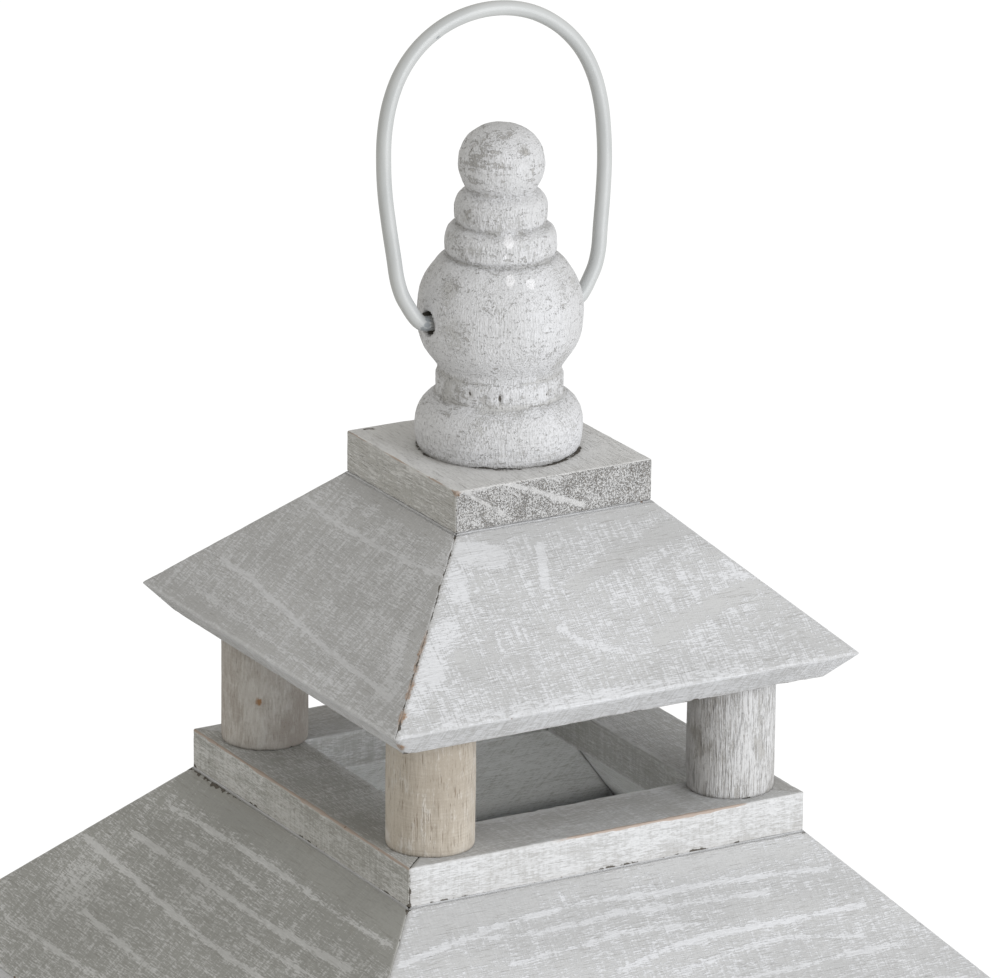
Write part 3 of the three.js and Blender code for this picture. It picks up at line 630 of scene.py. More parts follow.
def steel_material():
    s = Shader("zinc_steel")
    tc = s.t.nodes.new("ShaderNodeTexCoord")
    v = s.vm("MULTIPLY", tc.outputs["Object"], (1000.0, 1000.0, 1000.0))
    n1 = s.noise(v, 5.0, 3, 0.6)
    n2 = s.noise(v, (0.25, 0.25, 3.0), 2, 0.5, 5.0)
    n3 = s.noise(v, 0.8, 3, 0.65, 15.0)
    col = s.mix(s.step(n1, 0.35, 0.65), (0.42, 0.42, 0.43), (0.56, 0.56, 0.57))
    tarn = s.step(s.wsum(0.5, (0.9, n1), (0.9, n3)), 0.62, 0.78)
    col = s.mix(tarn, col, (0.20, 0.15, 0.11))
    s.put(s.b.inputs["Base Color"], col)
    s.b.inputs["Metallic"].default_value = 1.0
    s.put(s.b.inputs["Roughness"], s.step(s.wsum(0.5, (0.8, n2), (0.5, n1)), 0.2, 0.8, 0.28, 0.5))
    s.put(s.b.inputs["Normal"], s.bump(s.add(n2, s.mul(tarn, 0.8)), 0.03))
    return s.m


def glass_material():
    s = Shader("window_glass")
    tc = s.t.nodes.new("ShaderNodeTexCoord")
    v = s.vm("MULTIPLY", tc.outputs["Object"], (1000.0, 1000.0, 1000.0))
    n1 = s.noise(v, 30.0, 3, 0.6)
    n2 = s.noise(v, 2.0, 3, 0.7, 8.0)
    s.put(s.b.inputs["Base Color"], s.mix(s.step(n1, 0.3, 0.7), (0.93, 0.97, 0.95), (0.97, 0.99, 0.98)))
    s.put(s.b.inputs["Roughness"], s.step(s.wsum(0.4, (1.0, n1), (0.4, n2)), 0.35, 0.9, 0.015, 0.16))
    s.b.inputs["Transmission Weight"].default_value = 1.0
    s.b.inputs["IOR"].default_value = 1.46
    s.put(s.b.inputs["Normal"], s.bump(n1, 0.05))
    return s.m


M_BAIL = paint_material()
M_STEEL = steel_material()
M_GLASS = glass_material()


# ------------------------------------------------------------------ roof boards
UP_LO, UP_HI = box_mm("upper_roof_board_front")
LOW_LO, LOW_HI = box_mm("lower_roof_board_front")
COL_LO, COL_HI = box_mm("collar_strip_front")
EAV_LO, EAV_HI = box_mm("eave_strip_front")

UP = [(31.15, 475.0), (15.0, 475.0), (66.3, 428.1), (73.7, 436.1)]
LOW = [(63.0, 382.3), (47.35, 382.3), (103.35, 327.0), (119.0, 327.0)]
COL = [(63.0, 382.3), (63.0, 393.6), (40.0, 393.6), (40.0, 382.3)]
EAV = [(125.0, 315.0), (125.0, 327.0), (119.4, 327.0), (84.0, 327.0), (84.0, 315.0)]


def hip_dirt_and_shade(d, side, k=0.95):
    """Dirt and painted shade in the mitre gaps: broken dashes, strongest at the hip between the front and left boards,
    faint at the others.
    """
    x = d["x"]
    q = np.stack([d["v"] + 31.0 * (x > 0), x * 0, x * 0], 1)
    dash = np.clip(0.80 + 0.5 * vnoise(q, (2.6, 1, 1), 5, 2, 0.6), 0.35, 1.1)
    main = ((side == "front") & (x < 0)) | ((side == "left") & (x > 0))
    return d["hip"] * k * np.where(main, dash, 0.45 * dash)


def hip_warm(d, side):
    """Bare orange-brown wood beside the front left mitre, in its lower part."""
    x = d["x"]
    main = ((side == "front") & (x < 0)) | ((side == "left") & (x > 0))
    q = np.stack([d["v"], x * 0, x * 0], 1)
    return d["hip"] ** 0.6 * main * np.clip(0.55 + 0.9 * vnoise(q, (4.0, 1, 1), 15, 2), 0, 1) * (1 - sstep(d["v"], 18, 40) * 0.6)


def board(name, d, side, body, mats, m1, m2, face_mat=None):
    co = d["co"].copy()
    co[:, 1] *= -1.0
    co = turn_z(co, SIDE[side])
    faces = outward(co, d["faces"])
    return make(name, co, faces, body, [name], mats, d["gc"], m1, m2, face_mat)


BODY = "lantern_body"

# the corner order of UP: 0 top outer, 1 top inner, 2 eave lower, 3 eave upper. Edge 3 is the weathered face,
# its place measured from the eave (v = 0) up to the cap.
for i, side in enumerate(("front", "right", "back", "left")):
    name = "upper_roof_board_" + side
    d = prism(UP, (3.0, 3.5, 1.1, 0.75), (0.25, 0.3, 0.5, 0.45), "x", (0.2, 0.3, 0.8, 0.45), 11 + i, sec=1.35,
              groove=0.28, groove_chip=0.8)
    x, v, e = d["x"], d["v"], d["edge"]
    face = (e == 3).astype(float)
    eave = (e == 2).astype(float)
    m1 = np.zeros((len(x), 3))
    m2 = np.zeros((len(x), 3))
    if side == "front":
        m1[:, 0] += 0.36 * face * strokes(x, v, [
            (-31, 51.5, -22, 49, 5.0, 0.70), (-36, 44.5, -38, 39, 4.0, 0.56), (-45, 30, -55, 18, 5.0, 0.48),
            (-55, 18, -63, 8, 4.0, 0.44), (-7.7, 50, -11.3, 37.7, 1.5, 1.1), (45, 35, 48.5, 29.5, 2.4, 0.42),
            (-60, 2.0, 36, 1.5, 2.4, 0.34), (28.1, 43, 32.6, 22.8, 1.3, 0.30), (32.6, 22.8, 34.4, 8.2, 1.3, 0.22),
            (29.6, 32.5, 48.9, 30.1, 1.3, 0.34), (-12.2, 23.9, -8.2, 19.1, 1.5, 0.40), (-8.2, 19.1, 2.5, 14.0, 1.5, 0.40),
            (20, 44, 26, 16, 1.2, 0.18), (38, 40, 41, 14, 1.2, 0.16)])
        m1[:, 1] += 0.42 * face * strokes(x, v, [
            (-3, 36.4, 13.3, 41.6, 3.0, 0.42), (13.3, 41.6, 27.4, 46.2, 3.0, 0.42), (27.4, 46.2, 43, 49.6, 4.0, 0.36),
            (16.4, 15.6, 35.4, 22.3, 3.2, 0.42), (35.4, 22.3, 50.5, 26.7, 3.4, 0.42), (-24, 56.3, 30, 55.4, 2.6, 0.36),
            (-47, 21.5, -42, 16, 4.5, 0.26), (-34.5, 23, -36, 18, 2.5, 0.24), (54, 17, 66, 4, 8.0, 0.16),
            (36, 47, 44, 40, 6.0, 0.14)])
        m2[:, 1] += face * strokes(x, v, [(43.4, 33.6, 43.6, 33.6, 1.3, 1.3)])
    elif side == "left":
        wv = v + 0.3 * vnoise(np.stack([x, v * 0, v * 0], 1), (16, 1, 1), 84, 2)
        for pts, w, k in (([(-50, 17.4), (-42.7, 17.1), (-32.6, 17.2), (-20.4, 15.5), (-4.9, 13.9), (16.7, 11.6), (34.2, 10.2), (60.1, 8.9)], 0.95, 0.50),
                          ([(-41.5, 45.2), (-20.9, 43.4), (-1.0, 43.8), (19.4, 44.2), (39.8, 45.8)], 0.85, 0.42),
                          ([(-50, 6.5), (10, 4.4), (40, 4.0)], 0.9, 0.22)):
            one = np.zeros(len(x))
            for a, b in zip(pts[:-1], pts[1:]):
                one = np.maximum(one, strokes(x, wv, [(a[0], a[1], b[0], b[1], w, k)]))
            m1[:, 0] += 0.54 * face * one
        m1[:, 0] += 0.72 * face * strokes(x, v, [(34, 50, 42, 30, 3.0, 0.14), (44, 24, 58, 12, 3.5, 0.14)])
        m1[:, 1] += 0.45 * face * strokes(x, v, [
            (38, 44, 56, 16, 3.4, 0.22), (45, 7.6, 49.5, 7.8, 2.4, 0.25), (-24, 56, 26, 55, 2.8, 0.30), (-60, 2, 0, 1.6, 2.6, 0.2)])
        m2[:, 1] += face * strokes(x, v, [(45.5, 8.6, 48.6, 6.9, 1.9, 0.68)])
    else:
        rs = np.random.RandomState(60 + i)
        it = []
        for _ in range(9):
            vv = rs.uniform(4, 52)
            lim = 70 - vv * 0.72
            a = rs.uniform(-lim, lim * 0.3)
            it.append((a, vv, min(lim, a + rs.uniform(20, 60)), vv + rs.uniform(-3, 3), rs.uniform(1.1, 2.0), rs.uniform(0.2, 0.4)))
        m1[:, 0] += 0.4 * face * strokes(x, v, it)
        m1[:, 1] += 0.45 * face * strokes(x, v, [(a + 6, q + 5, c - 4, r + 5, w + 1.2, 0.28) for a, q, c, r, w, k in it[:4]])
    # painted shade: the left and back boards a little darker and greener
    m2[:, 2] += {"left": 0.03, "back": 0.1}.get(side, 0.0)
    m1[:, 0] += eave * 0.06
    m1[:, 1] += (e == 1) * 0.3
    m2[:, 0] = np.maximum(d["wear"], d["hip"] * 0.9)
    m1[:, 2] += hip_warm(d, side) * 1.25 * (face + eave)
    # dirt and painted shade in the mitres, the underside and the eave face's lower arris a little darker, and painted
    # contact shade along the top of the face under the cap
    m2[:, 1] = hip_dirt_and_shade(d, side) + (e == 1) * 0.1 + eave * np.exp(-v / 0.9) * 0.62
    m2[:, 1] += face * np.exp(-np.maximum(57.65 - v, 0) / 1.2) * 0.3
    board(name, d, side, BODY, [M_ROOF], m1, m2)

for i, side in enumerate(("front", "right", "back", "left")):
    name = "lower_roof_board_" + side
    d = prism(LOW, (3.0, 3.0, 3.5, 0.8), (0.25, 0.3, 0.4, 0.5), "x", (0.1, 0.3, 0.4, 0.5), 21 + i, sec=2.2,
              groove=0.3, groove_chip=0.8)
    x, v, e = d["x"], d["v"], d["edge"]
    m1 = np.zeros((len(x), 3))
    m2 = np.zeros((len(x), 3))
    face = (e == 3).astype(float)
    inner = (e == 1).astype(float)
    if side == "front":
        poly = [
            ([(-71.9, 62.9), (-37.5, 68.8), (-11.9, 70.2), (13.8, 68.8), (41.9, 68.0), (65.1, 66.3)], 1.5, 0.50),
            ([(-43.5, 65.4), (-27.4, 64.1), (-0.8, 65.3), (21.2, 63.7), (44.5, 62.9)], 1.5, 0.42),
            ([(-39.6, 56.5), (-18.7, 57.8), (-3.2, 59.3), (18.7, 57.8)], 1.5, 0.38),
            ([(-7.7, 48.4), (6.9, 51.9), (26.4, 53.5), (48, 53), (72, 53.5)], 1.9, 0.52),
            ([(8.4, 44.3), (28.7, 47.6), (43.2, 48.4), (67.3, 44.6)], 1.6, 0.36),
            ([(-70, 52), (-40, 50), (-14, 45)], 1.6, 0.36), ([(-95, 30), (-30, 34), (40, 31), (95, 26)], 1.8, 0.4),
            ([(-90, 16), (-10, 19), (70, 15)], 1.8, 0.4), ([(-60, 40), (0, 38), (80, 40)], 1.6, 0.36),
            ([(-17.3, 74.2), (-16.6, 71.8)], 1.8, 0.5)]
        bare = [(-58, 73.5, -28, 74, 4.5, 0.42), (-28, 75.5, 60, 74, 3.5, 0.26), (-64, 68.5, -54, 71, 3.5, 0.34),
                (30, 58, 60, 58.5, 3.0, 0.22), (-60, 60, -44, 61, 3.0, 0.2)]
    elif side == "left":
        poly = [
            ([(-59.3, 65.6), (-35.4, 66.4), (-11.9, 67.2), (11.1, 67.0), (32.8, 66.5), (68.3, 67.6)], 1.6, 0.55),
            ([(-66.1, 53.2), (-27.3, 54.0), (-3.4, 53.3), (22.0, 53.5), (60.4, 55.8)], 1.8, 0.55),
            ([(-82.9, 44.7), (-50.4, 42.8), (-28.9, 41.1), (12.6, 39.3), (70, 41)], 1.7, 0.48),
            ([(-59.6, 26.8), (-17.5, 24.2), (60, 25)], 1.7, 0.44), ([(-48, 59.5), (-20, 60.5), (14, 59.2)], 1.3, 0.32),
            ([(-30, 48.5), (20, 47), (66, 49)], 1.3, 0.3), ([(-90, 12), (0, 15), (90, 11)], 1.8, 0.4)]
        bare = [(-60, 74, 62, 74, 5.0, 0.5)]
        smooth = np.exp(-(((x + 73) / 9) ** 2 + ((v - 33) / 12) ** 2) ** 1.4)
        m1[:, 0] += face * 0.16 * smooth
        m1[:, 0] -= face * 0.10 * sstep(x, -20, 60) * sstep(v, 58, 66)
        m2[:, 1] += face * 0.62 * np.exp(-((x + 52) / 14) ** 2) * np.exp(-np.maximum(78 - v, 0) / 2.5) * np.clip(
            vnoise(np.stack([x, v, v * 0], 1), (0.9, 3.5, 1), 27, 2) + 0.5, 0, 1)
        m2[:, 1] += face * strokes(x, v, [(-58, 78, 10, 77.6, 2.4, 0.24), (47.5, 66.2, 49.2, 64.4, 1.4, 0.4)])
    else:
        rs = np.random.RandomState(70 + i)
        poly, bare = [], []
        for q in range(10):
            vv = 8 + q * 7 + rs.uniform(-2, 2)
            lim = 112 - vv * 0.7
            a, c = rs.uniform(-lim, -lim * 0.2), rs.uniform(lim * 0.2, lim)
            poly.append(([(a, vv), ((a + c) / 2, vv + rs.uniform(-2, 3)), (c, vv + rs.uniform(-2, 2))],
                         rs.uniform(1.3, 1.9), rs.uniform(0.3, 0.52)))
        bare.append((-58, 75, 58, 75, 4.0, 0.3))
    # joined strokes would add up where they meet, so each polyline keeps its strongest value
    white = np.zeros(len(x))
    for pts, w, k in poly:
        one = np.zeros(len(x))
        wob_v = v + 0.4 * vnoise(np.stack([x, v * 0, v * 0], 1), (22, 1, 1), 80 + i, 2)
        for a, b in zip(pts[:-1], pts[1:]):
            one = np.maximum(one, strokes(x, wob_v, [(a[0], a[1], b[0], b[1], w * 0.62, k)]))
        white += one
    m1[:, 0] += (0.66 if side in ("front", "left") else 0.45) * face * white * np.clip(
        0.85 + 0.7 * vnoise(np.stack([x, v * 0.3, v * 0], 1), (9, 3, 1), 95 + i, 2), 0.3, 1.15)
    m1[:, 1] += 0.42 * face * strokes(x, v, bare)
    # painted light: the inner faces painted whiter so the inside reads lighter, then tinted greener; painted shade: the
    # left board's face, and faintly the back's, made darker and greener
    m1[:, 0] += inner * 0.16
    m2[:, 2] += {"left": 0.72, "back": 0.1}.get(side, 0.0) * face + inner * 0.3
    m2[:, 0] = np.maximum(d["wear"], d["hip"] * 0.85)
    # dirt and painted contact shade along the top of the face, under the collar strip, broken up by noise
    contact_shade_break = np.clip(0.62 + 0.5 * vnoise(np.stack([x, v * 0, v * 0], 1), (3.0, 1, 1), 25 + i, 3, 0.7), 0.2, 1.0)
    m2[:, 1] += hip_dirt_and_shade(d, side, 0.8) + face * np.exp(-np.maximum(78.7 - v - 0.2, 0) / 0.9) * 0.95 * contact_shade_break
    board(name, d, side, BODY, [M_ROOF_LOW], m1, m2)

for i, side in enumerate(("front", "right", "back", "left")):
    name = "collar_strip_" + side
    d = prism(COL, (1.3, 1.5, 1.5, 3.0), (0.2, 0.35, 0.4, 0.3), "x", (0.2, 0.55, 0.7, 0.2), 31 + i, sec=1.2,
              groove=0.25, groove_chip=0.5)
    x, v, e = d["x"], d["v"], d["edge"]
    m1 = np.zeros((len(x), 3))
    m2 = np.zeros((len(x), 3))
    m1[:, 1] += (e == 1) * 0.10 + (e == 2) * 0.1
    m1[:, 0] += (e == 1) * 0.5 * np.exp(-np.maximum(23.0 - v, 0) / 1.2) * np.clip(0.5 + vnoise(np.stack([x, v, v * 0], 1), (7, 1.5, 1), 45 + i, 2), 0, 1)
    m1[:, 1] += (e == 0) * (0.12 if side == "left" else 0.26) * np.clip(vnoise(np.stack([x, v, v * 0], 1), (9, 2.5, 1), 55 + i, 3, 0.6) + 0.05, 0, 1)
    m2[:, 0] = d["wear"]
    # dirt and painted contact shade along the foot of the outer face, on the lower roof, and a faint dark line near the
    # top of the inner face; painted shade: the left strip's outer face and top, and all tops and inner faces, darker
    # and greener
    contact_shade_break = np.clip(0.6 + 0.55 * vnoise(np.stack([x, v * 0, v * 0], 1), (2.4, 1, 1), 35 + i, 3, 0.7), 0.1, 1.0)
    m2[:, 1] = hip_dirt_and_shade(d, side, 1.0) + (e == 0) * np.exp(-v / 1.1) * 1.08 * contact_shade_break + (e == 2) * np.exp(-np.abs(v - 2) / 1.2) * 0.3
    m2[:, 2] = {"left": 0.75, "back": 0.2}.get(side, 0.0) * (e == 0) + (e == 1) * {"left": 0.55}.get(side, 0.12) + (e == 2) * 0.3
    if side == "front":
        m1[:, 2] += (d["wear"] > 0.9) * (e == 1) * (v < 1) * sstep(x, -24, -6) * (1 - sstep(x, 40, 50)) * 1.1
    if side == "left":
        m1[:, 1] += (e == 0) * 0.10 * sstep(vnoise(np.stack([x * 0.03, v, v * 0], 1), (1, 1.6, 1), 65, 2), -0.2, 0.6)
        m1[:, 2] += (d["wear"] > 0.9) * (e == 1) * (v < 1) * 0.85
        m2[:, 1] += (e == 0) * strokes(x, v, [(-58, 4.0, -48, 5.2, 1.4, 0.46), (-48, 5.2, -36, 4.2, 1.2, 0.40), (-57, 7.6, -40, 8.2, 1.0, 0.38), (-30, 6.0, -12, 6.8, 0.9, 0.36)])
    board(name, d, side, BODY, [M_TRIM], m1, m2)

for i, side in enumerate(("front", "right", "back", "left")):
    name = "eave_strip_" + side
    d = prism(EAV, (1.5, 1.5, 4.0, 4.0, 4.0), (1.0, 0.6, 0.1, 0.3, 0.3), "x", (0.6, 0.5, 0.0, 0.2, 0.2), 41 + i, sec=2.0,
              groove=0.3, groove_chip=0.6)
    x, v, e = d["x"], d["v"], d["edge"]
    m1 = np.zeros((len(x), 3))
    m2 = np.zeros((len(x), 3))
    m2[:, 0] = np.where((e == 2) & (v < 1), 0, d["wear"])
    # dirt and painted contact shade on the top face where the lower roof board's foot sits on it
    m2[:, 1] = d["hip"] * 0.6 + (e == 1) * np.exp(-np.maximum(5.6 - v, 0) / 1.0) * 0.3
    board(name, d, side, BODY, [M_EAVE], m1, m2)

# ------------------------------------------------------------------ cap block
d = rbox(CAP_LO, CAP_HI, 0.9, 0.6, 0.5, 3, grain="y", wob=0.06)
p, nrm = d["p"], d["n"]
m1 = np.zeros((len(p), 3))
m2 = np.zeros((len(p), 3))
m2[:, 0] = d["wear"]
side_face = (np.abs(nrm[:, 2]) < 0.5)
# dirt and painted contact shade: darker along the foot of the side faces where the cap sits on the roof, and a dark
# ring on the top round the finial's foot
shade_break = np.clip(0.65 + 0.6 * vnoise(p, (3, 3, 3), 18, 3, 0.6), 0.2, 1.1)
m2[:, 1] = side_face * np.exp(-(p[:, 2] - CAP_LO[2]) / 0.9) * 1.05 * shade_break
rr = np.hypot(p[:, 0], p[:, 1])
shade_break = np.clip(0.72 + 0.6 * vnoise(p, (6, 6, 6), 19, 4, 0.7), 0.2, 1.1)
m2[:, 1] += (nrm[:, 2] > 0.5) * np.exp(-np.maximum(np.abs(rr - 22.5) - 0.5, 0) / 0.6) * 1.05 * shade_break
cx, cy, cz = p[:, 0], p[:, 1], p[:, 2] - T
# painted light: the top face painted whiter so it reads as lit from above
m1[:, 0] += (nrm[:, 2] > 0.5) * 0.20
frontf = nrm[:, 1] < -0.5
m1[:, 0] += 0.56 * frontf * np.clip(0.98 + 0.6 * vnoise(p, (2.2, 2.2, 2.2), 48, 3, 0.6), 0.5, 1.15) * np.minimum(0.9, strokes(cx, cz, [(-28, -0.8, -13.5, -10.3, 1.0, 0.8), (-15.5, 0.2, -3.3, -4.7, 1.1, 0.85), (-3.3, -4.7, 9.5, -10.2, 1.3, 0.85),
                                      (-2, -0.6, 8, -1.6, 0.7, 0.7), (-29.6, -7.9, -22.7, -11.2, 0.9, 0.75), (16, -2, 31, -4.0, 0.8, 0.35),
                                      (10.4, -8.2, 30.7, -10.2, 1.0, 0.55), (-31, -0.2, -20, -0.4, 0.9, 0.7)]))
backf = nrm[:, 1] > 0.5
m1[:, 0] += 0.36 * backf * strokes(cx, cz, [(-24, -1, -10, -9, 1.0, 0.8), (4, -1, 16, -9, 1.0, 0.8)])
m1[:, 2] += 0.95 * np.exp(-(np.hypot(np.hypot((cx + 31.15) * 0.8, (cy + 31.15) * 0.8), cz) / 1.7) ** 2)
m1[:, 2] += d["wear"] * (nrm[:, 0] < -0.3) * np.exp(-np.abs(cz) / 0.8) * 0.9 * np.clip(0.8 + 0.7 * vnoise(p, (7, 7, 7), 47, 2), 0.35, 1.1)
m2[:, 1] += (nrm[:, 2] > 0.5) * strokes(cx, cy, [(-26.0, 29.4, -24.2, 28.8, 1.0, 0.9)])
m2[:, 2] = (np.abs(nrm[:, 0]) > 0.5) * 0.42
fm = np.where((d["face_axis"] == 1) | (d["face_axis"] == 4), 1, 0)
co = d["co"]
make("cap_block", co, outward(co, d["faces"]), BODY, ["cap_block"], [M_CAP, M_CAP_END], d["gc"], m1, m2, fm)

# ------------------------------------------------------------------ cupola posts
PITCH = (475.0 - 436.1) / (73.7 - 31.15)


def dowel(name, cx, cy, seed, mat, r=12.35, z0=393.62):
    na, nz = 128, 60
    th = np.linspace(0, 2 * np.pi, na, endpoint=False)
    rows = np.linspace(0, 1, nz) ** 1.0
    co, gc, m1, m2 = [], [], [], []
    ca, sa = np.cos(th), np.sin(th)
    for i, t in enumerate(rows):
        base = np.stack([ca * r, sa * r, np.zeros(na)], 1)
        px, py = cx + ca * r, cy + sa * r
        top = 428.1 + (66.3 - np.maximum(np.abs(px), np.abs(py))) * PITCH - 0.05
        z = z0 + (top - z0) * t
        q = np.stack([px, py, z], 1)
        dr = 0.10 * vnoise(q + 55 * seed, (14, 14, 30), seed, 2) + 0.12 * vnoise(q + 55 * seed, (1.3, 1.3, 16), seed + 4, 2)
        edge = np.exp(-(z - z0) / 0.5)
        ragged = 0.5 * np.clip(vnoise(q, (2.0, 2.0, 40), seed + 8, 2), 0, 1)
        dr = dr - edge * (0.25 + ragged)
        rad = r + dr
        co.append(np.stack([cx + ca * rad, cy + sa * rad, z], 1))
        gc.append(np.stack([z + 400 * seed, ca * r + 90 * seed, sa * r + 37 * seed], 1))
        blot = np.clip(vnoise(q + 33 * seed, (5, 5, 8), seed + 12, 3, 0.6) - 0.12, 0, 1)
        flake = 0.3 * np.clip(vnoise(q, (3, 3, 3), seed + 21, 2) + 0.2, 0, 1) * (1 - sstep(z - z0, 2, 9)) * (np.cos(th + 0.9) < 0)
        warm = 0.30 * blot if seed in (1, 3) else 0 * blot
        if seed == 3:
            dk = np.hypot((np.mod(th + 2.2 + np.pi, 2 * np.pi) - np.pi) * r, z - (z0 + 14.6))
            warm = warm + 0.85 * np.exp(-(dk / 1.5) ** 2) + 0.3 * np.exp(-((dk - 3.2) / 0.8) ** 2)
            flake = flake + 0.3 * np.exp(-((dk - 4.5) / 1.6) ** 2)
        m1.append(np.stack([flake, (1.1 if seed == 1 else 0.6) * blot, warm * (1.7 if seed == 1 else 1.0)], 1))
        # dirt and painted contact shade at the foot, where the post stands on the collar, with random dark blotches
        m2.append(np.stack([edge * 0.6, np.exp(-(z - z0) / 1.0) * 0.72 * np.clip(0.75 + 0.5 * vnoise(q, (3, 3, 3), seed + 31, 2), 0.3, 1.1)
                            + 0.55 * np.clip(vnoise(q + 9, (2.2, 2.2, 3), seed + 41, 2) - 0.36, 0, 1) * 2.0, np.zeros(na)], 1))
    co = np.concatenate(co)
    faces = []
    for i in range(nz - 1):
        for k in range(na):
            k2 = (k + 1) % na
            faces.append((i * na + k, i * na + k2, (i + 1) * na + k2, (i + 1) * na + k))
    faces.append(tuple(range(na - 1, -1, -1)))
    faces.append(tuple((nz - 1) * na + k for k in range(na)))
    faces = outward(co, faces)
    return make(name, co, faces, BODY, [name], [mat], np.concatenate(gc), np.concatenate(m1), np.concatenate(m2))


PC = 47.95
dowel("cupola_post_front_left", -PC, -PC, 1, M_POST_F)
dowel("cupola_post_front_right", PC, -PC, 2, M_POST_R)
dowel("cupola_post_back_left", -PC, PC, 3, M_POST_L)
dowel("cupola_post_back_right", PC, PC, 4, M_POST_R)

# ------------------------------------------------------------------ finial
PROFILE = [(0, 0), (22.1, 0), (22.7, 1.2), (23.3, 4.6), (23.4, 8), (22.8, 10.6), (21.5, 13.0), (19.5, 14.9), (17.8, 16.0),
           (17.8, 21.2), (17.1, 22.6), (17.7, 24.4), (19.6, 27.1), (21.4, 30), (22.6, 33.4), (23.0, 37.2), (23.0, 41),
           (22.5, 44.8), (21.3, 48.2), (19.1, 51.8), (16.7, 54.6), (14.6, 55.6), (15.5, 57.0), (15.5, 60.6), (14.6, 63.1),
           (12.2, 64.6), (12.9, 66.0), (12.9, 69.9), (11.9, 72.3), (9.6, 74.4), (10.8, 76.6), (11.8, 79.6), (11.8, 83),
           (10.9, 86.6), (8.4, 89.8), (4.5, 91.9), (0, 92.5)]
BREAKS = {1, 8, 9, 10, 21, 22, 25, 26, 29}


def smooth_profile(pts, breaks, step=0.42):
    """Runs smooth curves between the creases of a turned profile."""
    P = np.array(pts, float)
    out = [P[0]]
    idx = sorted(set([0, len(P) - 1]) | set(breaks))
    for a, b in zip(idx[:-1], idx[1:]):
        seg = P[a:b + 1]
        if len(seg) == 2:
            m = max(2, int(np.linalg.norm(seg[1] - seg[0]) / step))
            for t in np.linspace(0, 1, m + 1)[1:]:
                out.append(seg[0] * (1 - t) + seg[1] * t)
            continue
        ext = np.vstack([2 * seg[0] - seg[1], seg, 2 * seg[-1] - seg[-2]])
        for k in range(len(seg) - 1):
            p0, p1, p2, p3 = ext[k], ext[k + 1], ext[k + 2], ext[k + 3]
            t01, t12, t23 = (np.linalg.norm(q) ** 0.5 + 1e-6 for q in (p1 - p0, p2 - p1, p3 - p2))
            v1 = (p1 - p0) / t01 - (p2 - p0) / (t01 + t12) + (p2 - p1) / t12
            v2 = (p2 - p1) / t12 - (p3 - p1) / (t12 + t23) + (p3 - p2) / t23
            v1, v2 = v1 * t12, v2 * t12
            m = max(2, int(np.linalg.norm(p2 - p1) / step))
            for t in np.linspace(0, 1, m + 1)[1:]:
                out.append((2 * t ** 3 - 3 * t ** 2 + 1) * p1 + (t ** 3 - 2 * t ** 2 + t) * v1
                           + (-2 * t ** 3 + 3 * t ** 2) * p2 + (t ** 3 - t ** 2) * v2)
    return np.array(out)


